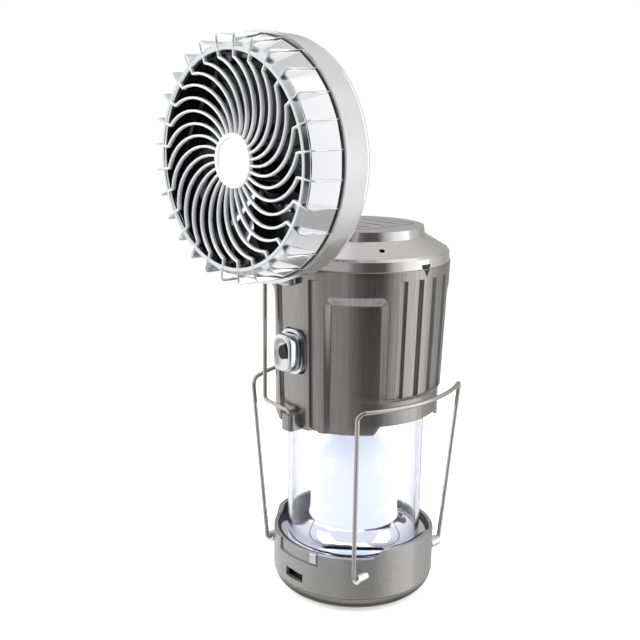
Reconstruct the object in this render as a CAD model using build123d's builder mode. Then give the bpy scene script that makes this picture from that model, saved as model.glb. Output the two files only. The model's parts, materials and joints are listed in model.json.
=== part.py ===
"""Telescoping camping lantern with a fold-up fan head.

Origin: centre of the base's underside. +Z up. The fan, the power button and the
USB port face -Y. Units are millimetres.
"""
import os
from math import atan2, cos, degrees, hypot, radians, sin, sqrt, tan

from build123d import *

os.makedirs("parts", exist_ok=True)

# ------------------------------------------------------------------ base
base_radius = 41.2
base_wall = 2.0
base_inner_radius = base_radius - base_wall
base_cover_top = 8.0
base_groove = 0.4
base_groove_depth = 0.6
cover_radius = base_radius - 0.2
cover_wall = 2.6
cover_floor = 2.8
cover_lift = 0.6
cover_turn = 7.0
foot_margin = 1.5
foot_radius = cover_radius - cover_turn - foot_margin
foot_height = 1.4
foot_chamfer = 0.4
rim_low = 29.3
rim_high = 33.2
rim_step_inner_angle = 56.8
rim_step_outer_angle = 62.9
rim_step_inner_x = base_radius * sin(radians(rim_step_inner_angle))
rim_step_outer_x = base_radius * sin(radians(rim_step_outer_angle))
thumb_recess_depth = 0.9
thumb_recess_half_angle = 19.0
thumb_recess_bottom = 23.2
latch_angle = 15.0
latch_width = 3.6
latch_thickness = 1.0
latch_bottom = thumb_recess_bottom + 1.0
latch_top = rim_low - 0.2
collar_wall = 1.6
collar_bore = base_inner_radius - collar_wall
collar_bottom = 24.0
collar_drop = 0.4
collar_end_gap = 0.2

# ------------------------------------------------------------------ port and power
port_x = -1.3
port_z = 14.3
port_window_width = 12.2
port_window_height = 4.9
socket_wall = 0.3
socket_floor = 1.0
socket_width = port_window_width + 1.0
socket_height = port_window_height + 0.7
socket_corner_x = abs(port_x) + socket_width / 2
socket_front = sqrt(base_inner_radius**2 - socket_corner_x**2) - 0.1
socket_length = 11.9
socket_rear = socket_front - socket_length
tongue_front = socket_front - 2.4
tongue_width = socket_width - 2.1
tongue_height = 1.8
tongue_z = port_z - 1.2
board_width = 30.0
board_depth = 18.0
board_thickness = 1.6
board_top = port_z - socket_height / 2
board_front = sqrt(base_inner_radius**2 - (board_width / 2) ** 2) - 0.7
battery_radius = 9.1
battery_length = 2 * foot_radius
battery_z = cover_lift + cover_floor + battery_radius + 0.95

# ------------------------------------------------------------------ light unit
tube_inset = 7.1
tube_radius = base_radius - tube_inset
tube_wall = 1.8
tube_bottom = 27.5
tube_flange_radius = tube_radius + 1.6
tube_flange_height = 2.0
tube_flange_overlap = 0.4
reflector_rim_radius = collar_bore - 0.2
reflector_thickness = 1.2
skirt_radius = tube_radius - tube_wall - 0.7
plateau_radius = 23.2
plateau_top = 36.5
diffuser_radius = plateau_radius - 0.7
diffuser_wall = 1.5
diffuser_shoulder = 60.0
diffuser_shoulder_radius = diffuser_radius - 0.5
diffuser_neck = 75.5
diffuser_neck_radius = 15.4
diffuser_top = 85.0
led_column_width = 8.0
led_column_top = diffuser_top - 7.0
led_size = 3.0
led_thickness = 1.0
led_rows = 4
led_pitch = 10.0
led_middle = (plateau_top + led_column_top) / 2 + 1.8

# ------------------------------------------------------------------ sliding housing
housing_bottom = 92.0
housing_top = 169.8
housing_rim_radius = base_radius + 0.5
housing_taper = 2.4
housing_radius = housing_rim_radius + housing_taper
housing_wall = 2.8
housing_bore = housing_rim_radius - housing_wall
notch_height = 4.3
notch_inner_angle = 54.2
notch_outer_angle = 60.8
notch_inner_x = housing_rim_radius * sin(radians(notch_inner_angle))
notch_outer_x = housing_rim_radius * sin(radians(notch_outer_angle))
strip_groove_angle = 14.8
strip_groove_width = 4.6
strip_groove_depth = 1.7
groove_top = housing_top - 4.6
bay_centre_angle = 42.0
bay_half_angle = 20.0
bay_floor_half_angle = 16.6
bay_floor_radius = housing_rim_radius - 1.0
bay_top = housing_top - 11.8
bay_bevel = 3.5
bay_corner = 3.0
band_top = housing_bottom + 17.5
band_bevel = 2.0
flute_width = 3.0
flute_depth = 1.7
flute_pitch_angle = 12.5
flutes_per_side = 4
cut_margin = 6.0
sleeve_bore = tube_flange_radius + 0.3
sleeve_wall = 1.2
sleeve_radius = sleeve_bore + sleeve_wall
sleeve_lip_bore = tube_radius + 0.35
sleeve_bottom = housing_bottom + 2.9
sleeve_lip_height = 3.0
sleeve_lip_relief = 0.4
tube_stop_gap = 1.0
tube_top = sleeve_bottom + sleeve_lip_height + tube_stop_gap + tube_flange_height
bulkhead_thickness = 2.4
bulkhead_bottom = housing_top - 3.3

# ------------------------------------------------------------------ cap
cap_edge_radius = housing_radius - 0.6
cap_skirt_top = housing_top + 4.3
cap_shoulder_radius = cap_edge_radius - 0.9
cap_shoulder_z = cap_skirt_top + 1.2
cap_cone_top = housing_top + 11.8
cap_cone_top_radius = cap_edge_radius - 11.7
cap_ledge = 7.8
cap_wall = 2.2
cap_hole_angle = -31.2
cap_hole_radius = 1.3
disc_edge_radius = cap_cone_top_radius - 0.3
disc_radius = disc_edge_radius - 0.7
disc_top = cap_cone_top + 4.2
disc_recess_depth = 1.0
disc_panel_width = 34.0
disc_panel_depth = 36.0
disc_panel_y = 4.0
disc_panel_corner = 3.0
disc_line = 0.8
disc_slot_length = 24.0
disc_slot_width = 1.2
disc_slot_pitch = 10.0

# ------------------------------------------------------------------ fan hinge
hinge_y = cap_edge_radius + 0.5
hinge_z = cap_cone_top - 0.8
ear_inner_x = 7.4
ear_thickness = 4.0
ear_radius = 4.3
ear_root_y = cap_cone_top_radius - 2.8
pin_radius = 1.6
pin_clearance = 0.05
pin_head_radius = 2.6
pin_head_height = 0.9
pin_head_taper = 20.0
knuckle_radius = 4.0
knuckle_side_gap = 0.3

# ------------------------------------------------------------------ fan head
fan_z = hinge_z + 38.1
fan_rear = hinge_y + 6.7
fan_step = fan_rear + 15.0
fan_band_radius = 53.6
fan_rear_edge_radius = fan_band_radius - 1.05
fan_edge_round = 1.0
fan_shell_wall = 2.2
band_bore = fan_rear_edge_radius - fan_shell_wall
rear_grille_recess = 0.4
rear_grille_wall = 2.0
rear_grille_back = fan_rear + rear_grille_recess
rear_grille_front = rear_grille_back + rear_grille_wall
vent_count = 24
vent_width = 3.4
vent_border = 4.4
vent_inner_radius = 20.0
vent_outer_radius = band_bore - vent_border
rib_count = 28
ring_radius = fan_band_radius - 7.0
ring_wall = 1.4
ring_bore = ring_radius - ring_wall
ring_front = fan_rear + 30.5
ring_depth = 2.8
ring_round = 0.5
drum_rear = fan_step + 0.6
drum_rear_radius = fan_band_radius - 1.6
drum_front = drum_rear + 8.5
drum_front_radius = ring_radius + 1.2
drum_wall = 1.6
spigot_radius = band_bore - 0.25
spigot_depth = 3.2
rib_thickness = 1.0
rib_tip_reach = 1.1
rib_tip_radius = ring_radius + 4.9
rib_seat_gap = 0.02
duct_radius = ring_bore + 0.2
duct_wall = 1.6
duct_bore = duct_radius - duct_wall
duct_rear = fan_rear + 10.0
spoke_width = 1.0
spoke_setback = 0.8
spoke_front = ring_front - spoke_setback
spoke_depth = ring_depth - spoke_setback
spoke_arc_radius = 21.2
spoke_arc_angle = 105.0
hub_radius = 11.6
hub_front = spoke_front + 0.5
hub_thickness = 3.4
hub_cap_radius = hub_radius - 1.0
hub_cap_height = 1.7
hub_cap_seat = hub_front - 1.5
hub_cap_round = 0.5
hub_cap_gap = 0.15
impeller_hub_radius = hub_radius + 1.9
impeller_wall = 1.2
impeller_cavity_radius = impeller_hub_radius - impeller_wall
impeller_rear = fan_rear + 10.1
impeller_front = impeller_rear + 14.0
impeller_face = 1.6
blade_count = 5
blade_tip_radius = duct_bore - 1.5
blade_thickness = 1.3
blade_half_angle = 30.0
blade_depth = 10.6
motor_radius = impeller_cavity_radius - 0.5
motor_rear = fan_rear + 5.3
motor_front = impeller_front - impeller_face - 0.8
motor_mount_radius = motor_radius + 3.2
shaft_radius = 1.5
shaft_clearance = 0.05
shaft_depth = 8.0

# ------------------------------------------------------------------ button
button_width = 12.4
button_height = 17.8
button_corner = 5.0
button_z = housing_bottom + 38.0
button_clearance = 0.3
button_chamfer = 1.2
dish_width = 4.2
dish_height = 6.4
dish_depth = 1.4
insert_width = 2.6
insert_height = 3.4
insert_lift = 0.6
insert_thickness = 0.8
bezel_border = 1.4
bezel_width = button_width + 2 * bezel_border
bezel_height = button_height + 2 * bezel_border + 0.6
bezel_corner = button_corner + 1.3

# ------------------------------------------------------------------ side handle
lug_width = 7.6
lug_front = housing_radius + 4.4
lug_corner = 2.6
lug_lower_top = housing_bottom + 7.8
lug_upper_bottom = housing_top - 7.3
lug_upper_top = housing_top - 1.0
handle_wire = 1.0
handle_pivot_y = lug_front - 2.5
handle_fold_angle = 9.5
handle_reach = 21.6
handle_bottom = lug_lower_top + 1.2
handle_top = lug_upper_bottom - 1.2
handle_bend = 2.4
handle_end = 4.6

# ------------------------------------------------------------------ base wire loops
loop_wire = 1.1
loop_bend = 4.0
loop_pivot_angle = 48.8
loop_pivot_x = base_radius * sin(radians(loop_pivot_angle))
loop_pivot_z = 20.5
boss_radius = 2.7
boss_wall_y = base_radius * cos(radians(loop_pivot_angle))
boss_root = 2.7
boss_inner_y = boss_wall_y - boss_root
boss_outer_y = boss_wall_y + 3.6
boss_floor = 1.6
loop_end_y = boss_inner_y + boss_floor + 0.8
loop_leg_y = boss_outer_y + loop_wire + 0.35
loop_top_x = loop_pivot_x + 5.0
loop_top_y = loop_leg_y + 5.2
loop_top_z = 106.8
loop_bow_angle = 27.0
loop_foot_bend = 1.8
running_clearance = 0.05

z_axis = Axis((0, 0, 0), (0, 0, 1))
fan_axis = Axis((0, 0, fan_z), (0, -1, 0))
fan_plane = Plane(origin=(0, 0, fan_z), x_dir=(1, 0, 0), z_dir=(0, -1, 0))


def finish(builder, label):
    """Label one sub-part and write its STEP file."""
    builder.part.label = label
    export_step(builder.part, "parts/" + label + ".step")


# ================================================================== base parts
with BuildPart() as base_cover:
    turn_radius = cover_radius - cover_turn
    inner_radius = cover_radius - cover_wall
    floor_top = cover_lift + cover_floor
    with BuildSketch(Plane.XZ):
        with BuildLine():
            Line((0, cover_lift), (turn_radius, cover_lift))
            ThreePointArc(
                (turn_radius, cover_lift),
                (cover_radius - 0.3 * cover_turn, cover_lift + cover_wall),
                (cover_radius, base_cover_top),
            )
            Line((cover_radius, base_cover_top), (inner_radius, base_cover_top))
            Line((inner_radius, base_cover_top), (inner_radius - 1.2, floor_top + 1.0))
            Line((inner_radius - 1.2, floor_top + 1.0), (0, floor_top))
            Line((0, floor_top), (0, cover_lift))
        make_face()
    revolve(axis=z_axis)
    with BuildSketch(Plane.XY):
        Circle(foot_radius)
    extrude(amount=foot_height, mode=Mode.SUBTRACT)
finish(base_cover, "base_cover")

with BuildPart() as foot_pad:
    with BuildSketch(Plane.XY):
        Circle(foot_radius)
    extrude(amount=foot_height)
    chamfer(foot_pad.edges().group_by(Axis.Z)[0], length=foot_chamfer)
finish(foot_pad, "foot_pad")


def boss_plane(side, end, y):
    """Plane across one loop pivot at distance y from the middle, facing outward."""
    return Plane(origin=(side * loop_pivot_x, end * y, loop_pivot_z), z_dir=(0, end, 0))


shell_bottom = base_cover_top + base_groove
with BuildPart() as base_shell:
    with BuildSketch(Plane.XY.offset(shell_bottom)):
        Circle(base_radius)
        Circle(base_inner_radius, mode=Mode.SUBTRACT)
    extrude(amount=rim_high - shell_bottom)
    with BuildSketch(Plane.XY.offset(base_cover_top)):
        Circle(base_radius - base_groove_depth)
        Circle(base_inner_radius, mode=Mode.SUBTRACT)
    extrude(amount=base_groove)
    with BuildSketch(Plane.XZ):
        Polygon(
            (-rim_step_inner_x, rim_low),
            (rim_step_inner_x, rim_low),
            (rim_step_outer_x, rim_high + 0.01),
            (-rim_step_outer_x, rim_high + 0.01),
            align=None,
        )
    extrude(amount=base_radius + cut_margin, both=True, mode=Mode.SUBTRACT)
    with BuildSketch(Plane.XZ.rotated((0, 0, -thumb_recess_half_angle - 90))):
        recess_top = rim_high + cut_margin
        with Locations((base_radius - thumb_recess_depth, thumb_recess_bottom)):
            Rectangle(cut_margin, recess_top - thumb_recess_bottom, align=(Align.MIN, Align.MIN))
    revolve(axis=z_axis, revolution_arc=2 * thumb_recess_half_angle, mode=Mode.SUBTRACT)
    with Locations((port_x, -base_radius, port_z)):
        Box(port_window_width, 2 * cut_margin, port_window_height, mode=Mode.SUBTRACT)
    for side in (-1, 1):
        for end in (-1, 1):
            with BuildSketch(boss_plane(side, end, boss_inner_y)):
                Circle(boss_radius)
            extrude(amount=boss_outer_y - boss_inner_y + cut_margin, mode=Mode.SUBTRACT)
finish(base_shell, "base_shell")

for side, name in ((-1, "left"), (1, "right")):
    with BuildPart() as pivot_bosses:
        for end in (-1, 1):
            with BuildSketch(boss_plane(side, end, boss_inner_y)):
                Circle(boss_radius)
            extrude(amount=boss_outer_y - boss_inner_y)
            with BuildSketch(boss_plane(side, end, boss_inner_y + boss_floor)):
                Circle(loop_wire + running_clearance)
            extrude(amount=boss_outer_y - boss_inner_y, mode=Mode.SUBTRACT)
    finish(pivot_bosses, "pivot_bosses_" + name)

with BuildPart() as rim_collar:
    with BuildSketch(Plane.XY.offset(collar_bottom)):
        Circle(base_inner_radius)
        Circle(collar_bore, mode=Mode.SUBTRACT)
    extrude(amount=rim_high - collar_drop - collar_bottom)
    with BuildSketch(Plane.XZ):
        Polygon(
            (-rim_step_inner_x + collar_end_gap, rim_low - collar_drop),
            (rim_step_inner_x - collar_end_gap, rim_low - collar_drop),
            (rim_step_outer_x - collar_end_gap, rim_high),
            (-rim_step_outer_x + collar_end_gap, rim_high),
            align=None,
        )
    extrude(amount=base_radius + cut_margin, both=True, mode=Mode.SUBTRACT)
finish(rim_collar, "rim_collar")

with BuildPart() as latch_clip:
    recess_radius = base_radius - thumb_recess_depth
    with BuildSketch(Plane.XY.offset(latch_bottom)):
        with PolarLocations(recess_radius + latch_thickness / 2, 1, start_angle=latch_angle - 90):
            Rectangle(latch_thickness, latch_width)
        Circle(recess_radius + 0.02, mode=Mode.SUBTRACT)
    extrude(amount=latch_top - latch_bottom)
finish(latch_clip, "latch_clip")

with BuildPart() as usb_socket:
    with BuildSketch(Plane.XZ.offset(socket_rear)):
        with Locations((port_x, port_z)):
            Rectangle(socket_width, socket_height)
    extrude(amount=socket_length)
    with BuildSketch(Plane.XZ.offset(socket_rear + socket_floor)):
        with Locations((port_x, port_z)):
            Rectangle(socket_width - 2 * socket_wall, socket_height - 2 * socket_wall)
    extrude(amount=socket_length, mode=Mode.SUBTRACT)
finish(usb_socket, "usb_socket")

with BuildPart() as usb_tongue:
    with BuildSketch(Plane.XZ.offset(socket_rear + socket_floor)):
        with Locations((port_x, tongue_z)):
            Rectangle(tongue_width, tongue_height)
    extrude(amount=tongue_front - socket_rear - socket_floor)
finish(usb_tongue, "usb_tongue")

with BuildPart() as charge_board:
    with Locations((0, -board_front + board_depth / 2, board_top - board_thickness / 2)):
        Box(board_width, board_depth, board_thickness)
finish(charge_board, "charge_board")

with BuildPart() as battery:
    with BuildSketch(Plane.YZ.offset(-battery_length / 2)):
        with Locations((0, battery_z)):
            Circle(battery_radius)
    extrude(amount=battery_length)
finish(battery, "battery")

# ================================================================== light unit
def flare(neck, foot):
    """Hollow arc of the reflector's skirt, from its neck down to its foot."""
    hollow = (neck[0] + 0.25 * (foot[0] - neck[0]), foot[1] + 0.4 * (neck[1] - foot[1]))
    ThreePointArc(neck, hollow, foot)


with BuildPart() as reflector:
    flange_bottom = tube_bottom - reflector_thickness
    under_neck = (plateau_radius - 0.8 * reflector_thickness, plateau_top - reflector_thickness)
    under_foot = (skirt_radius - 0.6 * reflector_thickness, flange_bottom)
    with BuildSketch(Plane.XZ):
        with BuildLine():
            Line((0, plateau_top), (plateau_radius, plateau_top))
            flare((plateau_radius, plateau_top), (skirt_radius, tube_bottom))
            Line((skirt_radius, tube_bottom), (reflector_rim_radius, tube_bottom))
            Line((reflector_rim_radius, tube_bottom), (reflector_rim_radius, flange_bottom))
            Line((reflector_rim_radius, flange_bottom), under_foot)
            flare(under_neck, under_foot)
            Line(under_neck, (0, plateau_top - reflector_thickness))
            Line((0, plateau_top - reflector_thickness), (0, plateau_top))
        make_face()
    revolve(axis=z_axis)
finish(reflector, "reflector")

with BuildPart() as clear_tube:
    with BuildSketch(Plane.XY.offset(tube_bottom)):
        Circle(tube_radius)
        Circle(tube_radius - tube_wall, mode=Mode.SUBTRACT)
    extrude(amount=tube_top - tube_bottom)
    with BuildSketch(Plane.XY.offset(tube_top - tube_flange_height)):
        Circle(tube_flange_radius)
        Circle(tube_radius - tube_flange_overlap, mode=Mode.SUBTRACT)
    extrude(amount=tube_flange_height)
finish(clear_tube, "clear_tube")

with BuildPart() as diffuser:
    for inset, mode in ((0, Mode.ADD), (diffuser_wall, Mode.SUBTRACT)):
        foot = (diffuser_radius - inset, plateau_top)
        shoulder = (diffuser_shoulder_radius - inset, diffuser_shoulder)
        crown = (0, diffuser_top - inset)
        with BuildSketch(Plane.XZ):
            with BuildLine():
                Line((0, plateau_top), foot)
                Line(foot, shoulder)
                Spline(
                    shoulder,
                    (diffuser_neck_radius - inset, diffuser_neck - inset / 2),
                    crown,
                    tangents=((0, 1), (-1, 0)),
                )
                Line(crown, (0, plateau_top))
            make_face()
        revolve(axis=z_axis, mode=mode)
finish(diffuser, "diffuser")

with BuildPart() as led_column:
    with BuildSketch(Plane.XY.offset(plateau_top)):
        Rectangle(led_column_width, led_column_width)
    extrude(amount=led_column_top - plateau_top)
finish(led_column, "led_column")

with BuildPart() as led_chips:
    for row in range(led_rows):
        level = led_middle + (row - (led_rows - 1) / 2) * led_pitch
        with Locations((0, 0, level)):
            with PolarLocations((led_column_width + led_thickness) / 2, 4):
                Box(led_thickness, led_size, led_size)
finish(led_chips, "led_chips")


# ================================================================== sliding housing
def skin(level):
    """Radius of the housing's cone at one height."""
    return housing_rim_radius + housing_taper * (level - housing_bottom) / (housing_top - housing_bottom)


def channel(angle, width, depth, bottom, top):
    """Cutter for one straight groove that keeps its depth along the cone."""
    with BuildPart() as cutter:
        for level in (bottom, top):
            with BuildSketch(Plane.XY.offset(level)):
                with PolarLocations(skin(level) - depth + cut_margin / 2, 1, start_angle=angle):
                    Rectangle(cut_margin, width)
        loft()
    return cutter.part


cut_radius = housing_radius + cut_margin
cut_bottom = housing_bottom - 1.0
bay_floor_top = bay_top - bay_bevel
bay_rise = bay_bevel * (cut_radius - bay_floor_radius) / (skin(bay_top) - bay_floor_radius)
floor_edge = Vector(bay_floor_radius, 0).rotate(Axis.Z, bay_floor_half_angle)
frame_edge = Vector(skin(bay_top), 0).rotate(Axis.Z, bay_half_angle)
near_edge = floor_edge * 2 - frame_edge
far_edge = floor_edge * -3 + frame_edge * 4
with BuildPart() as bay:
    with BuildSketch(Plane.XY.offset(cut_bottom)):
        Polygon(
            (near_edge.X, -near_edge.Y),
            (far_edge.X, -far_edge.Y),
            (2 * cut_radius, -far_edge.Y),
            (2 * cut_radius, far_edge.Y),
            (far_edge.X, far_edge.Y),
            (near_edge.X, near_edge.Y),
            align=None,
        )
    extrude(amount=housing_top + cut_margin - cut_bottom)
    with BuildSketch(Plane.XZ):
        Polygon(
            (bay_floor_radius, cut_bottom),
            (cut_radius, cut_bottom),
            (cut_radius, bay_floor_top + bay_rise),
            (bay_floor_radius, bay_floor_top),
            align=None,
        )
    revolve(axis=z_axis, mode=Mode.INTERSECT)
    top_edges = bay.edges().filter_by(lambda edge: edge.center().Z > bay_floor_top)
    mitres = top_edges.filter_by(lambda edge: edge.bounding_box().size.Z > bay_bevel)
    fillet(mitres, radius=bay_corner)

bezel_seat = skin(button_z) - 1.3
bezel_front = skin(button_z) + 2.1
button_rear = bezel_seat - 0.6
button_front = bezel_front + 6.2
with BuildPart() as upper_housing:
    with BuildSketch(Plane.XZ):
        Polygon(
            (housing_bore, housing_bottom),
            (housing_rim_radius, housing_bottom),
            (housing_radius, housing_top),
            (housing_bore, housing_top),
            align=None,
        )
    revolve(axis=z_axis)
    band_half_angle = 90 - bay_centre_angle
    for facing in (0, 180):
        with BuildSketch(Plane.XZ.rotated((0, 0, facing - band_half_angle))):
            Polygon(
                (bay_floor_radius, cut_bottom),
                (cut_radius, cut_bottom),
                (cut_radius, band_top),
                (skin(band_top), band_top),
                (bay_floor_radius, band_top - band_bevel),
                align=None,
            )
        revolve(axis=z_axis, revolution_arc=2 * band_half_angle, mode=Mode.SUBTRACT)
        for index in range(flutes_per_side):
            flute_angle = facing + (index - (flutes_per_side - 1) / 2) * flute_pitch_angle
            flute = channel(flute_angle, flute_width, flute_depth, band_top - band_bevel, groove_top)
            add(flute, mode=Mode.SUBTRACT)
    for facing in (-90, 90):
        for turn in (-1, 1):
            groove_angle = facing + turn * strip_groove_angle
            groove = channel(groove_angle, strip_groove_width, strip_groove_depth, cut_bottom, groove_top)
            add(groove, mode=Mode.SUBTRACT)
            add(bay.part.rotate(Axis.Z, facing + turn * bay_centre_angle), mode=Mode.SUBTRACT)
    for side in (-1, 1):
        with BuildSketch(Plane.XZ):
            Polygon(
                (side * notch_inner_x, housing_bottom),
                (side * notch_outer_x, housing_bottom + notch_height),
                (side * cut_radius, housing_bottom + notch_height),
                (side * cut_radius, cut_bottom),
                (side * notch_inner_x, cut_bottom),
                align=None,
            )
        extrude(amount=cut_radius, both=True, mode=Mode.SUBTRACT)
    with BuildSketch(Plane.XZ.offset(bezel_seat)):
        with Locations((0, button_z)):
            RectangleRounded(bezel_width, bezel_height, bezel_corner)
    extrude(amount=cut_margin, mode=Mode.SUBTRACT)
    with BuildSketch(Plane.XZ.offset(housing_bore - cut_margin)):
        with Locations((0, button_z)):
            RectangleRounded(
                button_width + 2 * button_clearance,
                button_height + 2 * button_clearance,
                button_corner + button_clearance,
            )
    extrude(amount=2 * cut_margin, mode=Mode.SUBTRACT)
finish(upper_housing, "upper_housing")

with BuildPart() as slide_sleeve:
    with BuildSketch(Plane.XY.offset(sleeve_bottom)):
        Circle(sleeve_radius)
        Circle(sleeve_bore, mode=Mode.SUBTRACT)
    extrude(amount=bulkhead_bottom - sleeve_bottom)
    with BuildSketch(Plane.XY.offset(sleeve_bottom)):
        Circle(sleeve_radius - sleeve_lip_relief)
        Circle(sleeve_lip_bore, mode=Mode.SUBTRACT)
    extrude(amount=sleeve_lip_height)
finish(slide_sleeve, "slide_sleeve")

with BuildPart() as bulkhead:
    with BuildSketch(Plane.XY.offset(bulkhead_bottom)):
        Circle(housing_bore)
    extrude(amount=bulkhead_thickness)
finish(bulkhead, "bulkhead")

# ================================================================== cap
with BuildPart() as cap_solid:
    with BuildSketch(Plane.XZ):
        Polygon(
            (0, housing_top),
            (cap_edge_radius, housing_top),
            (cap_edge_radius, cap_skirt_top),
            (cap_shoulder_radius, cap_shoulder_z),
            (cap_cone_top_radius, cap_cone_top),
            (disc_edge_radius, cap_cone_top),
            (disc_radius, disc_top),
            (0, disc_top),
            align=None,
        )
    revolve(axis=z_axis)

with BuildPart() as cap_cone:
    ledge_radius = cap_cone_top_radius - cap_ledge
    with BuildSketch(Plane.XZ):
        Polygon(
            (cap_edge_radius - cap_wall, housing_top),
            (cap_edge_radius, housing_top),
            (cap_edge_radius, cap_skirt_top),
            (cap_shoulder_radius, cap_shoulder_z),
            (cap_cone_top_radius, cap_cone_top),
            (ledge_radius, cap_cone_top),
            (ledge_radius, cap_cone_top - cap_wall),
            (cap_cone_top_radius - 0.6, cap_cone_top - cap_wall),
            (cap_edge_radius - cap_wall, cap_skirt_top - 0.5),
            align=None,
        )
    revolve(axis=z_axis)
    cone_run = cap_shoulder_radius - cap_cone_top_radius
    cone_rise = cap_cone_top - cap_shoulder_z
    hole_x = (cap_shoulder_radius + cap_cone_top_radius) / 2
    hole_z = (cap_shoulder_z + cap_cone_top) / 2
    hole_centre = Vector(hole_x, 0, hole_z).rotate(z_axis, cap_hole_angle)
    hole_normal = Vector(cone_rise, 0, cone_run).rotate(z_axis, cap_hole_angle)
    with BuildSketch(Plane(origin=hole_centre, z_dir=hole_normal)):
        Circle(cap_hole_radius)
    extrude(amount=cap_wall * 2, both=True, mode=Mode.SUBTRACT)
finish(cap_cone, "cap_cone")

with BuildPart() as top_disc:
    with BuildSketch(Plane.XZ):
        Polygon(
            (0, cap_cone_top),
            (disc_edge_radius, cap_cone_top),
            (disc_radius, disc_top),
            (0, disc_top),
            align=None,
        )
    revolve(axis=z_axis)
    with BuildSketch(Plane.XY.offset(disc_top - disc_recess_depth)):
        with Locations((0, disc_panel_y)):
            RectangleRounded(disc_panel_width, disc_panel_depth, disc_panel_corner)
            RectangleRounded(
                disc_panel_width - 2 * disc_line,
                disc_panel_depth - 2 * disc_line,
                disc_panel_corner - disc_line,
                mode=Mode.SUBTRACT,
            )
            with GridLocations(0, disc_slot_pitch, 1, 3):
                SlotOverall(disc_slot_length, disc_slot_width)
    extrude(amount=2 * disc_recess_depth, mode=Mode.SUBTRACT)
finish(top_disc, "top_disc")

# ================================================================== fan hinge
for side, name in ((-1, "left"), (1, "right")):
    with BuildPart() as hinge_ear:
        with BuildSketch(Plane.YZ.offset(side * (ear_inner_x + ear_thickness / 2))):
            with Locations((-hinge_y, hinge_z)):
                Circle(ear_radius)
            Polygon(
                (-hinge_y - 0.84 * ear_radius, hinge_z - 0.56 * ear_radius),
                (-hinge_y + 0.4, hinge_z - 9.6),
                (-ear_root_y, cap_cone_top - 3.0),
                (-ear_root_y, hinge_z + ear_radius - 0.7),
                (-hinge_y + 0.28 * ear_radius, hinge_z + 0.95 * ear_radius),
                align=None,
            )
            with Locations((-hinge_y, hinge_z)):
                Circle(pin_radius, mode=Mode.SUBTRACT)
        extrude(amount=ear_thickness / 2, both=True)
        add(cap_solid.part, mode=Mode.SUBTRACT)
    finish(hinge_ear, "hinge_ear_" + name)

ear_outer_x = ear_inner_x + ear_thickness
with BuildPart() as hinge_pin:
    with BuildSketch(Plane.YZ.offset(-ear_outer_x)):
        with Locations((-hinge_y, hinge_z)):
            Circle(pin_radius)
    extrude(amount=2 * ear_outer_x)
    for side in (-1, 1):
        with BuildSketch(Plane(origin=(side * ear_outer_x, -hinge_y, hinge_z), z_dir=(side, 0, 0))):
            Circle(pin_head_radius)
        extrude(amount=pin_head_height, taper=pin_head_taper)
finish(hinge_pin, "hinge_pin")

with BuildPart() as fan_knuckle:
    with BuildSketch(Plane.YZ.offset(-ear_inner_x + knuckle_side_gap)):
        with Locations((-hinge_y, hinge_z)):
            Circle(knuckle_radius)
        Polygon(
            (-rear_grille_back, hinge_z - knuckle_radius),
            (-hinge_y, hinge_z - knuckle_radius),
            (-hinge_y + 1.0, hinge_z),
            (-hinge_y - 1.4, hinge_z + 0.93 * knuckle_radius),
            (-rear_grille_back, hinge_z + 2.5 * knuckle_radius),
            align=None,
        )
        with Locations((-hinge_y, hinge_z)):
            Circle(pin_radius + pin_clearance, mode=Mode.SUBTRACT)
    extrude(amount=2 * (ear_inner_x - knuckle_side_gap))
finish(fan_knuckle, "fan_knuckle")

# ================================================================== fan head
with BuildPart() as fan_rear_shell:
    edge_inset = 1.5 * fan_edge_round
    edge_start = (-fan_rear, fan_z + fan_rear_edge_radius - edge_inset)
    edge_middle = (-fan_rear - 0.3 * fan_edge_round, fan_z + fan_rear_edge_radius - 0.4 * fan_edge_round)
    edge_end = (-fan_rear - 2 * fan_edge_round, fan_z + fan_rear_edge_radius)
    with BuildSketch(Plane.YZ):
        with BuildLine():
            Line((-fan_rear, fan_z + band_bore), edge_start)
            ThreePointArc(edge_start, edge_middle, edge_end)
            Line(edge_end, (-fan_step, fan_z + fan_band_radius))
            Line((-fan_step, fan_z + fan_band_radius), (-fan_step, fan_z + band_bore))
            Line((-fan_step, fan_z + band_bore), (-fan_rear, fan_z + band_bore))
        make_face()
    revolve(axis=fan_axis)
finish(fan_rear_shell, "fan_rear_shell")

with BuildPart() as rear_grille:
    with BuildSketch(fan_plane.offset(rear_grille_back)):
        Circle(band_bore)
        with PolarLocations((vent_inner_radius + vent_outer_radius) / 2, vent_count):
            SlotOverall(vent_outer_radius - vent_inner_radius, vent_width, mode=Mode.SUBTRACT)
        with Locations((0, hinge_z + 0.75 * knuckle_radius - fan_z)):
            Rectangle(2 * ear_inner_x + ear_thickness, 4 * knuckle_radius)
    extrude(amount=rear_grille_wall)
finish(rear_grille, "rear_grille")

with BuildPart() as rib:
    front_root = (-ring_front, fan_z + ring_radius + rib_seat_gap)
    front_hollow = (-ring_front, fan_z + (ring_radius + rib_tip_radius) / 2)
    tip = (-ring_front - rib_tip_reach, fan_z + rib_tip_radius)
    step_corner = (-drum_rear - 0.1, fan_z + fan_band_radius - 0.2)
    drum_back = (-drum_rear - 0.1, fan_z + drum_rear_radius - drum_wall / 2)
    drum_lip = (-drum_front + 0.4, fan_z + drum_front_radius - drum_wall / 2)
    rear_root = (-ring_front + ring_depth, fan_z + ring_radius + rib_seat_gap)
    with BuildSketch(Plane.YZ.offset(-rib_thickness / 2)):
        with BuildLine():
            ThreePointArc(front_root, front_hollow, tip)
            Polyline(tip, step_corner, drum_back, drum_lip, rear_root, front_root)
        make_face()
    extrude(amount=rib_thickness)

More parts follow.
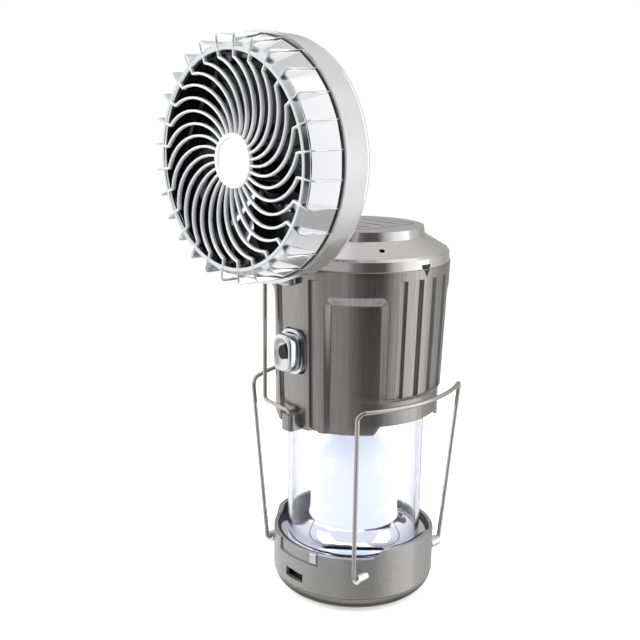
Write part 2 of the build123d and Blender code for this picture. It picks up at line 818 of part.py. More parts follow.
with BuildPart() as fan_drum:
    with BuildSketch(fan_plane.offset(drum_rear)):
        RegularPolygon(drum_rear_radius, rib_count)
    with BuildSketch(fan_plane.offset(drum_front)):
        RegularPolygon(drum_front_radius, rib_count)
    loft(ruled=True)
    with BuildSketch(fan_plane.offset(drum_rear - spigot_depth)):
        Circle(spigot_radius)
    extrude(amount=spigot_depth)
    with BuildSketch(Plane.YZ):
        Polygon(
            (-drum_rear + spigot_depth, fan_z),
            (-drum_rear + spigot_depth, fan_z + spigot_radius - drum_wall),
            (-drum_rear, fan_z + spigot_radius - drum_wall),
            (-drum_front, fan_z + drum_front_radius - drum_wall),
            (-drum_front, fan_z),
            align=None,
        )
    revolve(axis=fan_axis, mode=Mode.SUBTRACT)
    for index in range(rib_count):
        add(rib.part.rotate(fan_axis, index * 360 / rib_count))
finish(fan_drum, "fan_drum")

with BuildPart() as fan_duct:
    with BuildSketch(fan_plane.offset(duct_rear)):
        Circle(duct_radius)
        Circle(duct_bore, mode=Mode.SUBTRACT)
    extrude(amount=ring_front - ring_depth - duct_rear)
finish(fan_duct, "fan_duct")

with BuildSketch(Plane.XY) as spoke:
    with BuildLine():
        arc = JernArc((hub_radius, 0), (1, 0), spoke_arc_radius, spoke_arc_angle)
        root = Line((hub_radius - 1.2, 0), (hub_radius, 0))
        radial = (arc @ 1).normalized() * (ring_bore + ring_wall / 2)
        Line(arc @ 1, radial)
    trace(line_width=spoke_width)

with BuildPart() as front_grille:
    with BuildSketch(fan_plane.offset(ring_front - ring_depth)):
        Circle(ring_radius)
        Circle(ring_bore, mode=Mode.SUBTRACT)
    extrude(amount=ring_depth)
    fillet(front_grille.edges().group_by(Axis.Y)[0], radius=ring_round)
    with BuildSketch(fan_plane.offset(hub_front - hub_thickness)):
        Circle(hub_radius)
    extrude(amount=hub_thickness)
    with BuildSketch(fan_plane.offset(spoke_front - spoke_depth)):
        with PolarLocations(0, rib_count):
            add(spoke.sketch)
    extrude(amount=spoke_depth)
    with BuildSketch(fan_plane.offset(hub_cap_seat)):
        Circle(hub_cap_radius + hub_cap_gap)
    extrude(amount=hub_cap_height, mode=Mode.SUBTRACT)
finish(front_grille, "front_grille")

with BuildPart() as hub_cap:
    with BuildSketch(fan_plane.offset(hub_cap_seat)):
        Circle(hub_cap_radius)
    extrude(amount=hub_cap_height)
    fillet(hub_cap.edges().group_by(Axis.Y)[0], radius=hub_cap_round)
finish(hub_cap, "hub_cap")

with BuildPart() as motor_mount:
    with BuildSketch(fan_plane.offset(rear_grille_front)):
        Circle(motor_mount_radius)
    extrude(amount=motor_rear - rear_grille_front)
finish(motor_mount, "motor_mount")

with BuildPart() as motor:
    with BuildSketch(fan_plane.offset(motor_rear)):
        Circle(motor_radius)
    extrude(amount=motor_front - motor_rear)
    with BuildSketch(fan_plane.offset(motor_front - shaft_depth - 1)):
        Circle(shaft_radius + shaft_clearance)
    extrude(amount=shaft_depth + 2, mode=Mode.SUBTRACT)
finish(motor, "motor")

with BuildPart() as motor_shaft:
    with BuildSketch(fan_plane.offset(motor_front - shaft_depth)):
        Circle(shaft_radius)
    extrude(amount=impeller_front - impeller_face - motor_front + shaft_depth)
finish(motor_shaft, "motor_shaft")

blade_middle = (impeller_rear + impeller_front) / 2
with BuildPart() as blade:
    for station in (impeller_cavity_radius - 0.3, blade_tip_radius + 1):
        sweep_width = 2 * station * tan(radians(blade_half_angle))
        pitch = degrees(atan2(blade_depth, sweep_width))
        with BuildSketch(Plane(origin=(station, -blade_middle, fan_z), x_dir=(0, 0, 1), z_dir=(1, 0, 0))):
            Rectangle(hypot(sweep_width, blade_depth), blade_thickness, rotation=pitch)
    loft()
    with BuildSketch(fan_plane.offset(impeller_rear)):
        Circle(blade_tip_radius)
    extrude(amount=impeller_front - impeller_rear, mode=Mode.INTERSECT)

with BuildPart() as impeller:
    with BuildSketch(fan_plane.offset(impeller_rear)):
        Circle(impeller_hub_radius)
    extrude(amount=impeller_front - impeller_rear)
    for index in range(blade_count):
        add(blade.part.rotate(fan_axis, index * 360 / blade_count))
    with BuildSketch(fan_plane.offset(impeller_rear - 1)):
        Circle(impeller_cavity_radius)
    extrude(amount=impeller_front - impeller_face - impeller_rear + 1, mode=Mode.SUBTRACT)
finish(impeller, "impeller")

# ================================================================== button
with BuildPart() as button_bezel:
    with BuildSketch(Plane.XZ.offset(bezel_seat)):
        with Locations((0, button_z)):
            RectangleRounded(bezel_width, bezel_height, bezel_corner)
            RectangleRounded(
                button_width + 2 * button_clearance,
                button_height + 2 * button_clearance,
                button_corner + button_clearance,
                mode=Mode.SUBTRACT,
            )
    extrude(amount=bezel_front - bezel_seat)
finish(button_bezel, "button_bezel")

with BuildPart() as button_cap:
    with BuildSketch(Plane.XZ.offset(button_rear)):
        with Locations((0, button_z)):
            RectangleRounded(button_width, button_height, button_corner)
    extrude(amount=button_front - button_rear)
    chamfer(button_cap.faces().sort_by(Axis.Y)[0].edges(), length=button_chamfer)
    with BuildSketch(Plane.XZ.offset(button_front - dish_depth)):
        with Locations((0, button_z)):
            Ellipse(dish_width, dish_height)
    extrude(amount=2 * dish_depth, mode=Mode.SUBTRACT)
finish(button_cap, "button_cap")

with BuildPart() as button_insert:
    with BuildSketch(Plane.XZ.offset(button_front - dish_depth)):
        with Locations((0, button_z + insert_lift)):
            Ellipse(insert_width, insert_height)
    extrude(amount=insert_thickness)
finish(button_insert, "button_insert")

# ================================================================== side handle
for bottom, top, name in (
    (housing_bottom, lug_lower_top, "lower"),
    (lug_upper_bottom, lug_upper_top, "upper"),
):
    with BuildPart() as handle_lug:
        with BuildSketch(Plane.XY.offset(bottom)):
            with Locations((0, -housing_bore)):
                Rectangle(lug_width, lug_front - housing_bore, align=(Align.CENTER, Align.MAX))
            fillet(vertices().group_by(Axis.Y)[0], radius=lug_corner)
        extrude(amount=top - bottom)
        with BuildSketch(Plane.XY.offset(bottom - 1)):
            with Locations((0, -handle_pivot_y)):
                Circle(handle_wire + running_clearance)
        extrude(amount=top - bottom + 2, mode=Mode.SUBTRACT)
        with BuildSketch(Plane.XZ):
            Polygon(
                (0, housing_bottom),
                (housing_rim_radius, housing_bottom),
                (housing_radius, housing_top),
                (0, housing_top),
                align=None,
            )
        revolve(axis=z_axis, mode=Mode.SUBTRACT)
    finish(handle_lug, "handle_lug_" + name)

fold = radians(handle_fold_angle)
handle_plane = Plane(
    origin=(0, -handle_pivot_y, 0),
    x_dir=(-cos(fold), sin(fold), 0),
    z_dir=(sin(fold), cos(fold), 0),
)
with BuildPart() as side_handle:
    with BuildLine(handle_plane) as handle_path:
        FilletPolyline(
            (0, handle_bottom - handle_end),
            (0, handle_bottom),
            (handle_reach, handle_bottom),
            (handle_reach, handle_top),
            (0, handle_top),
            (0, handle_top + handle_end),
            radius=handle_bend,
        )
    with BuildSketch(Plane(origin=handle_path.line @ 0, z_dir=handle_path.line % 0)):
        Circle(handle_wire)
    sweep(path=handle_path.line)
finish(side_handle, "side_handle")


# ================================================================== base wire loops
def bend(corner, into, out, radius):
    """Start, middle and end of a wire bend at a corner between two directions."""
    half = radians(into.get_angle(out) / 2)
    reach = radius * sin(half) / cos(half)
    inward = (out - into).normalized()
    middle = corner + inward * (radius / cos(half) - radius)
    return corner - into * reach, middle, corner + out * reach


bow = radians(loop_bow_angle)
for side, name in ((-1, "left"), (1, "right")):
    foot = Vector(side * loop_pivot_x, -loop_leg_y, loop_pivot_z)
    corner = Vector(side * loop_top_x, -loop_top_y, loop_top_z)
    leg = (corner - foot).normalized()
    bar = Vector(side * sin(bow), cos(bow), 0)
    foot_bend = bend(foot, Vector(0, -1, 0), leg, loop_foot_bend)
    corner_bend = bend(corner, leg, bar, loop_bend)
    bow_radius = -corner_bend[2].Y / sin(bow)
    crown = Vector(corner_bend[2].X + side * bow_radius * (1 - cos(bow)), 0, loop_top_z)
    foot_mirror = [Vector(p.X, -p.Y, p.Z) for p in reversed(foot_bend)]
    corner_mirror = [Vector(p.X, -p.Y, p.Z) for p in reversed(corner_bend)]
    with BuildPart() as wire_loop:
        with BuildLine() as loop_path:
            Line(Vector(side * loop_pivot_x, -loop_end_y, loop_pivot_z), foot_bend[0])
            ThreePointArc(*foot_bend)
            Line(foot_bend[2], corner_bend[0])
            ThreePointArc(*corner_bend)
            ThreePointArc(corner_bend[2], crown, corner_mirror[0])
            ThreePointArc(*corner_mirror)
            Line(corner_mirror[2], foot_mirror[0])
            ThreePointArc(*foot_mirror)
            Line(foot_mirror[2], Vector(side * loop_pivot_x, loop_end_y, loop_pivot_z))
        with BuildSketch(Plane(origin=loop_path.line @ 0, z_dir=loop_path.line % 0)):
            Circle(loop_wire)
        sweep(path=loop_path.line)
    finish(wire_loop, "wire_loop_" + name)
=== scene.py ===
"""Dressed model of a telescoping camping lantern with a fold-up fan head.

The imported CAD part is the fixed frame: origin at the centre of the base's
underside, +Z up, fan and button facing -Y. Lengths in the classes are in
millimetres and become metres when a mesh is made. Angles round the body are
measured from -Y towards +X, in degrees.
"""
from __future__ import annotations

import json
import logging
import math
from dataclasses import dataclass
from enum import Enum

import bpy
import numpy as np
from mathutils import Matrix, Vector

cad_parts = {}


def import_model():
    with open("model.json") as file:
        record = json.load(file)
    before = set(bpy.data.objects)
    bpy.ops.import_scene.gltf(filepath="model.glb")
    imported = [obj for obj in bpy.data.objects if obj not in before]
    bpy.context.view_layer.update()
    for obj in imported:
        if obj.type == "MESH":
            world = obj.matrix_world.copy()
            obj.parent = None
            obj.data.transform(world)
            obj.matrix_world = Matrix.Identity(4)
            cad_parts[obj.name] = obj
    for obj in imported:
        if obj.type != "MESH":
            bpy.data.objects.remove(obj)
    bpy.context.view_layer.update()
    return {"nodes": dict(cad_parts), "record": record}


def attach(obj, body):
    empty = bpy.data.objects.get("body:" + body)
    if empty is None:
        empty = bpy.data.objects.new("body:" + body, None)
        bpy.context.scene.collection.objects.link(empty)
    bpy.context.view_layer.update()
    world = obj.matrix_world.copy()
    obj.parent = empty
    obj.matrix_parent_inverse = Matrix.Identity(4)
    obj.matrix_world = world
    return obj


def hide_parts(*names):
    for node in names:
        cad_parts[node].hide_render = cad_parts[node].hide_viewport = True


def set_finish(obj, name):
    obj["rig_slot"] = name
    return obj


LOG = logging.getLogger("lantern")
MM = 0.001
FAN_AXIS_Z = 218.9  # height of the fan's axis
CORNERS = 28  # spokes, fins and facets of the fan
CORNER_PHASE = 7.6  # angle of the first of them, from straight across
FILL = {"From Min": 0.3, "From Max": 0.7}  # the part of its range that noise fills


# --- colour and nodes
def srgb(code: str) -> tuple[float, float, float, float]:
    """Turn six hex digits of an sRGB colour into linear red, green and blue, with an alpha of one."""
    values = (int(code[i : i + 2], 16) / 255 for i in (0, 2, 4))
    return (*(v / 12.92 if v <= 0.04045 else ((v + 0.055) / 1.055) ** 2.4 for v in values), 1.0)


def feed(tree: bpy.types.NodeTree, socket: bpy.types.NodeSocket, value: object) -> None:
    """Give an input socket its value or its link.

    Args:
        tree: The node tree that the socket is in.
        socket: The input socket.
        value: A plain value, an output socket, or a node that gives its first output.
    """
    source = value.outputs[0] if isinstance(value, bpy.types.Node) else value
    if isinstance(source, bpy.types.NodeSocket):
        tree.links.new(source, socket)
    else:
        socket.default_value = source


def add_node(
    tree: bpy.types.NodeTree, kind: str, inputs: dict | None = None, **settings: object
) -> bpy.types.Node:
    """Add a node to a tree, with its settings and its inputs.

    Args:
        tree: The node tree that gets the node.
        kind: The node's Blender type name, without "ShaderNode" before it.
        inputs: Socket name or index to a value, an output socket or a node.
        settings: Node attributes to set first.

    Returns:
        The new node.
    """
    node = tree.nodes.new("ShaderNode" + kind)
    for key, value in settings.items():
        setattr(node, key, value)
    for key, value in (inputs or {}).items():
        feed(tree, node.inputs[key], value)
    return node


class Shell:
    """A new material with a Principled surface, ready for its own nodes."""

    def __init__(self, name: str) -> None:
        """Make the material and its standing nodes.

        Args:
            name: The material's name.
        """
        self.material = bpy.data.materials.new(name)
        self.material.use_nodes = True
        self.tree = self.material.node_tree
        self.tree.nodes.clear()
        self.surface = self.add("BsdfPrincipled")
        self.output = self.add("OutputMaterial", {"Surface": self.surface})
        self.place = self.add("TexCoord").outputs["Object"]

    def add(self, kind: str, inputs: dict | None = None, **settings: object) -> bpy.types.Node:
        """Add a node to this material's tree."""
        return add_node(self.tree, kind, inputs, **settings)

    def set(self, **values: object) -> None:
        """Set sockets of the surface by name, with underscores for spaces."""
        for key, value in values.items():
            feed(self.tree, self.surface.inputs[key.replace("_", " ")], value)

    def drift(
        self, place: object, size_mm: float, low: float, high: float, detail: float = 2.0
    ) -> bpy.types.Node:
        """Noise of a real size over some coordinates, spread from a low value to a high one."""
        noise = self.add("TexNoise", {"Vector": place, "Scale": 1 / (size_mm * MM), "Detail": detail})
        return self.add("MapRange", {"Value": noise, **FILL, "To Min": low, "To Max": high})


# --- finishes
@dataclass(frozen=True)
class CombedLacquer:
    """Metallic lacquer over moulded ABS, combed upright.

    Fine lines draw each highlight out into a tall streak. They are drawn a
    little coarser than real ones, so that they show.
    """

    name: str
    colour: str
    dark: str
    metallic: float = 0.97
    roughness: float = 0.24
    line_mm: float = 0.45
    stretch: float = 0.012
    radius_mm: float = 43.0
    cloud_mm: float = 25.0
    cloud_stretch: float = 0.4
    sway: float = 0.02

    def build(self) -> bpy.types.Material:
        """Make the material: noise on the arc round the body, drawn long along Z.

        Returns:
            The finished material.
        """
        m = Shell(self.name)
        parts = m.add("SeparateXYZ", {"Vector": m.place}).outputs
        turn = m.add("Math", {0: parts["X"], 1: parts["Y"]}, operation="ARCTAN2")
        arc = m.add("Math", {0: turn, 1: self.radius_mm * MM}, operation="MULTIPLY")
        rise = m.add("Math", {0: parts["Z"], 1: self.stretch}, operation="MULTIPLY")
        flat = m.add("CombineXYZ", {"X": arc, "Y": rise})
        share = m.drift(flat, self.line_mm, 0.0, 1.0)
        mix = m.add("Mix", {0: share, 6: srgb(self.dark), 7: srgb(self.colour)}, data_type="RGBA")
        tall = m.add("Mapping", {"Vector": m.place, "Scale": (1.0, 1.0, self.cloud_stretch)})
        rough = m.drift(tall, self.cloud_mm, self.roughness - self.sway, self.roughness + self.sway)
        m.set(Base_Color=mix.outputs[2], Metallic=self.metallic, Roughness=rough)
        return m.material


@dataclass(frozen=True)
class SatinLacquer:
    """Sprayed metallic lacquer over moulded ABS.

    Fine flake softens its shine, and a slow cloud keeps a broad face from
    looking flat.
    """

    name: str
    colour: str
    metallic: float = 0.85
    roughness: float = 0.25
    flake_mm: float = 0.3
    cloud_mm: float = 50 / 3
    sway: float = 0.02

    def build(self) -> bpy.types.Material:
        """Make the material: fine flake in the gloss and a slow cloud in the colour.

        Returns:
            The finished material.
        """
        m = Shell(self.name)
        value = m.drift(m.place, self.cloud_mm, 1 - self.sway, 1 + self.sway)
        tint = m.add("HueSaturation", {"Color": srgb(self.colour), "Value": value})
        low, high = self.roughness - self.sway, self.roughness + self.sway
        rough = m.drift(m.place, self.flake_mm, low, high, detail=1.0)
        m.set(Base_Color=tint, Metallic=self.metallic, Roughness=rough)
        return m.material


@dataclass(frozen=True)
class FootShadeLacquer:
    """Sprayed bright lacquer on the base's cover, with painted shade along its lowest edge.

    The foot is painted dark where it meets the ground, as painted shade.
    """

    name: str
    colour: str
    dark: str
    metallic: float = 0.95
    gloss: tuple[float, float] = (0.12, 0.16)
    low_mm: float = 5.0
    high_mm: float = 7.8
    cloud_mm: float = 50 / 3

    def build(self) -> bpy.types.Material:
        """Make the material: the colour rises from dark to bright with height, a painted shade at the foot.

        Returns:
            The finished material.
        """
        m = Shell(self.name)
        level = m.add("SeparateXYZ", {"Vector": m.place}).outputs["Z"]
        rise = {"Value": level, "From Min": self.low_mm * MM, "From Max": self.high_mm * MM}
        share = m.add("MapRange", rise)
        # The dark colour at the foot is painted shade.
        mix = m.add("Mix", {0: share, 6: srgb(self.dark), 7: srgb(self.colour)}, data_type="RGBA")
        rough = m.drift(m.place, self.cloud_mm, *self.gloss)
        m.set(Base_Color=mix.outputs[2], Metallic=self.metallic, Roughness=rough)
        return m.material


@dataclass(frozen=True)
class Polished:
    """Plated or drawn metal, mirror-bright, with faint hand marks that break its shine."""

    name: str
    colour: str
    roughness: float = 0.06
    spread: float = 0.03
    mark_mm: float = 6.0

    def build(self) -> bpy.types.Material:
        """Make the material: the gloss drops a little in soft smears.

        Returns:
            The finished material.
        """
        m = Shell(self.name)
        smear = m.add("TexNoise", {"Vector": m.place, "Scale": 1 / (self.mark_mm * MM), "Detail": 4.0})
        ends = {"To Min": self.roughness, "To Max": self.roughness + self.spread}
        rough = m.add("MapRange", {"Value": smear, "From Min": 0.35, "From Max": 0.7, **ends})
        m.set(Base_Color=srgb(self.colour), Metallic=1.0, Roughness=rough)
        return m.material


@dataclass(frozen=True)
class Moulded:
    """Moulded plastic or rubber: the fine grain of a spark-eroded mould breaks up its shine."""

    name: str
    colour: str
    roughness: float = 0.45
    grain_mm: float = 0.3
    grain_depth_mm: float = 0.01
    sway: float = 0.15

    def build(self) -> bpy.types.Material:
        """Make the material: grain in the normal and a little in the gloss.

        Returns:
            The finished material.
        """
        m = Shell(self.name)
        grain = m.add("TexNoise", {"Vector": m.place, "Scale": 1 / (self.grain_mm * MM), "Detail": 3.0})
        ends = {"To Min": self.roughness * (1 - self.sway), "To Max": self.roughness * (1 + self.sway)}
        rough = m.add("MapRange", {"Value": grain, **FILL, **ends})
        bump = m.add("Bump", {"Height": grain, "Distance": self.grain_depth_mm * MM, "Strength": 1.0})
        m.set(Base_Color=srgb(self.colour), Roughness=rough, Normal=bump)
        return m.material


@dataclass(frozen=True)
class ClearPolycarbonate:
    """Extruded clear polycarbonate tube: see-through, with a cool grey rim and a soft shine."""

    name: str = "clear_extruded_polycarbonate"
    clear: str = "fcfdff"
    rim: str = "b6b9cb"
    shadow: str = "fafbfd"
    ior: float = 1.3
    facing: float = 0.35
    rim_span: tuple[float, float] = (0.2, 0.8)
    haze: float = 0.03
    haze_mm: float = 20 / 3
    haze_stretch: float = 0.1

    def build(self) -> bpy.types.Material:
        """Make the material: full transmission that lets shadow rays through.

        Returns:
            The finished material.
        """
        m = Shell(self.name)
        tall = m.add("Mapping", {"Vector": m.place, "Scale": (1.0, 1.0, self.haze_stretch)})
        haze = m.add("TexNoise", {"Vector": tall, "Scale": 1 / (self.haze_mm * MM), "Detail": 2.0})
        rough = m.add("MapRange", {"Value": haze, "From Min": 0.3, "From Max": 0.8, "To Max": self.haze})
        facing = m.add("LayerWeight", {"Blend": self.facing}).outputs["Facing"]
        low, high = self.rim_span
        edge = m.add("MapRange", {"Value": facing, "From Min": low, "From Max": high})
        tint = m.add("Mix", {0: edge, 6: srgb(self.clear), 7: srgb(self.rim)}, data_type="RGBA")
        m.set(Base_Color=tint.outputs[2], Transmission_Weight=1.0, IOR=self.ior, Roughness=rough)
        through = m.add("BsdfTransparent", {"Color": srgb(self.shadow)})
        path = m.add("LightPath").outputs["Is Shadow Ray"]
        mix = m.add("MixShader", {0: path, 1: m.surface, 2: through})
        feed(m.tree, m.output.inputs["Surface"], mix)
        return m.material


@dataclass(frozen=True)
class FrostedPolycarbonate:
    """Moulded milky diffuser lit from inside.

    It is cool at its middle and white at its edges, and a soft bright spot
    shows in front of each light.
    """

    name: str = "frosted_moulded_polycarbonate"
    colour: str = "80838c"
    cool: str = "e2e7fb"
    pale: str = "fafbff"
    strength: float = 0.8
    rows_mm: tuple[tuple[float, float], ...] = ((66.5, 5.0), (45.0, 2.5))
    rim_span: tuple[float, float] = (0.3, 0.85)
    spot_edge: float = 0.45
    sides: float = 4.0
    gloss: tuple[float, float] = (0.3, 0.4)
    cloud_mm: float = 100 / 7

    def glow(
        self, m: Shell, parts: bpy.types.bpy_prop_collection, row: tuple[float, float]
    ) -> bpy.types.Node:
        """Spots at a height, one facing each side: a share of the height times one of the turn.

        The latter is the cosine of four times the angle, cut off below its edge.

        Args:
            m: The material's shell.
            parts: Outputs X, Y and Z of the object coordinates.
            row: Height of the spots' middle and half their height.

        Returns:
            The node that gives the glow.
        """
        middle, half = row
        turn = m.add("Math", {0: parts["X"], 1: parts["Y"]}, operation="ARCTAN2")
        wound = m.add("Math", {0: turn, 1: self.sides}, operation="MULTIPLY")
        wave = m.add("Math", {0: wound}, operation="COSINE")
        side = m.add("MapRange", {"Value": wave, "From Min": self.spot_edge, "From Max": 1.0})
        lift = m.add("Math", {0: parts["Z"], 1: middle * MM}, operation="SUBTRACT")
        away = m.add("Math", {0: lift}, operation="ABSOLUTE")
        fall = {"Value": away, "From Min": 0.0, "From Max": half * MM, "To Min": 1.0, "To Max": 0.0}
        return m.add("Math", {0: side, 1: m.add("MapRange", fall)}, operation="MULTIPLY")

    def build(self) -> bpy.types.Material:
        """Make the material: its own light is cool where it faces out and white at its rim.

        Returns:
            The finished material.
        """
        m = Shell(self.name)
        parts = m.add("SeparateXYZ", {"Vector": m.place}).outputs
        facing = m.add("LayerWeight", {"Blend": 0.5}).outputs["Facing"]
        low, high = self.rim_span
        pale = m.add("MapRange", {"Value": facing, "From Min": low, "From Max": high})
        for row in self.rows_mm:
            pale = m.add("Math", {0: pale, 1: self.glow(m, parts, row)}, operation="MAXIMUM")
        rough = m.drift(m.place, self.cloud_mm, *self.gloss)
        mix = m.add("Mix", {0: pale, 6: srgb(self.cool), 7: srgb(self.pale)}, data_type="RGBA")
        m.set(Base_Color=srgb(self.colour), Roughness=rough)
        m.set(Emission_Color=mix.outputs[2], Emission_Strength=self.strength)
        return m.material


# --- meshes
def make_piece(
    name: str, points: np.ndarray, faces: np.ndarray, sharp_deg: float = 38.0
) -> bpy.types.Object:
    """Make an object from points in millimetres and four-sided faces.

    Args:
        name: The object's name.
        points: Array of shape (count, 3).
        faces: Array of shape (count, 4) of point numbers, turning outward.
        sharp_deg: Edges that turn by more than this stay sharp.

    Returns:
        The object, linked to the scene, at the origin.
    """
    mesh = bpy.data.meshes.new(name)
    mesh.vertices.add(len(points))
    mesh.vertices.foreach_set("co", (points * MM).astype(np.float32).ravel())
    mesh.loops.add(faces.size)
    mesh.loops.foreach_set("vertex_index", faces.astype(np.int32).ravel())
    mesh.polygons.add(len(faces))
    mesh.polygons.foreach_set("loop_start", np.arange(0, faces.size, 4, dtype=np.int32))
    mesh.polygons.foreach_set("use_smooth", np.ones(len(faces), dtype=bool))
    mesh.update(calc_edges=True)
    mesh.validate()
    mesh.set_sharp_from_angle(angle=math.radians(sharp_deg))
    piece = bpy.data.objects.new(name, mesh)
    bpy.context.scene.collection.objects.link(piece)
    return piece


def grid_faces(rows: int, columns: int, wrap_rows: bool, wrap_columns: bool) -> np.ndarray:
    """Faces of a grid of points numbered row by row.

    Args:
        rows: Number of rows.
        columns: Points in each row.
        wrap_rows: Whether the last row joins the first.
        wrap_columns: Whether each row is a closed ring.

    Returns:
        Array of four point numbers for each face.
    """
    row = np.arange(rows if wrap_rows else rows - 1)
    column = np.arange(columns if wrap_columns else columns - 1)
    i, j = (index.ravel() for index in np.meshgrid(row, column, indexing="ij"))
    here, below = i * columns, (i + 1) % rows * columns
    beside = (j + 1) % columns
    return np.stack([here + j, here + beside, below + beside, below + j], axis=1)


def close_ends(rows: int, columns: int) -> np.ndarray:
    """Faces that zip shut the first and last rings of a grid.

    Args:
        rows: Number of rings.
        columns: Points in each ring, an even number.

    Returns:
        Faces of the first end and then of the last.
    """
    k = np.arange(columns // 2 - 1)
    lid = np.stack([k, columns - 1 - k, columns - 2 - k, k + 1], axis=1)
    return np.concatenate([lid, lid[:, ::-1] + (rows - 1) * columns])


def smooth_step(value: np.ndarray, low: float, high: float) -> np.ndarray:
    """Rise from 0 at low to 1 at high with flat ends: three t squared less two t cubed."""
    t = np.clip((value - low) / (high - low), 0.0, 1.0)
    return t * t * (3 - 2 * t)


def soft_band(value: np.ndarray, low: float, high: float, edge: float) -> np.ndarray:
    """One between low and high, falling to 0 across an edge width at each end."""
    half = edge / 2
    return smooth_step(value, low - half, low + half) * (1 - smooth_step(value, high - half, high + half))


def folded(angle: np.ndarray) -> np.ndarray:
    """Angle brought into one quarter: 0 at the front or back, 90 at either side."""
    turned_in = np.abs((angle + 180) % 360 - 180)
    return np.minimum(turned_in, 180 - turned_in)


def fan_frame(x: np.ndarray, up: np.ndarray, reach: np.ndarray) -> np.ndarray:
    """Points on the fan from across, up from its axis and forward from the body's axis."""
    return np.stack([x, -reach, FAN_AXIS_Z + up], axis=-1)


def spun(
    grid: tuple[np.ndarray, np.ndarray, np.ndarray], faces: np.ndarray, count: int, phase: float = 0.0
) -> tuple[np.ndarray, np.ndarray]:
    """Repeat a grid about the fan's axis.

    Args:
        grid: Across, up and reach arrays of one copy.
        faces: Faces of one copy.
        count: Number of copies.
        phase: Angle of the first copy.

    Returns:
        All points and all faces.
    """
    x, up, reach = grid
    points, numbers = [], []
    for index in range(count):
        turn = math.radians(phase) + 2 * np.pi * index / count
        across = x * np.cos(turn) - up * np.sin(turn)
        rise = x * np.sin(turn) + up * np.cos(turn)
        points.append(fan_frame(across, rise, reach).reshape(-1, 3))
        numbers.append(faces + index * x.size)
    return np.concatenate(points), np.concatenate(numbers)


def revolved(
    profile: list[tuple[float, float]], turn: np.ndarray, share: np.ndarray | float = 1.0
) -> tuple[np.ndarray, np.ndarray]:
    """Sweep a closed profile about the fan's axis: the radius times the turn's cosine and sine.

    Args:
        profile: Radius and reach of each point of the profile.
        turn: Angles of the copies, in radians.
        share: What the radius is multiplied by at each angle.

    Returns:
        All points and all faces.
    """
    radius, reach = np.array(profile).T
    x = radius[:, None] * share * np.cos(turn)
    up = radius[:, None] * share * np.sin(turn)
    points = fan_frame(x, up, np.broadcast_to(reach[:, None], x.shape))
    return points.reshape(-1, 3), grid_faces(len(profile), len(turn), True, True)


def turned(name: str, profile: list[tuple[float, float]], count: int = 168) -> bpy.types.Object:
    """Make a round piece on the fan's axis from the radius and reach of its section's points."""
    points, faces = revolved(profile, np.linspace(0, 2 * np.pi, count, endpoint=False))
    return make_piece(name, points, faces, 42.0)


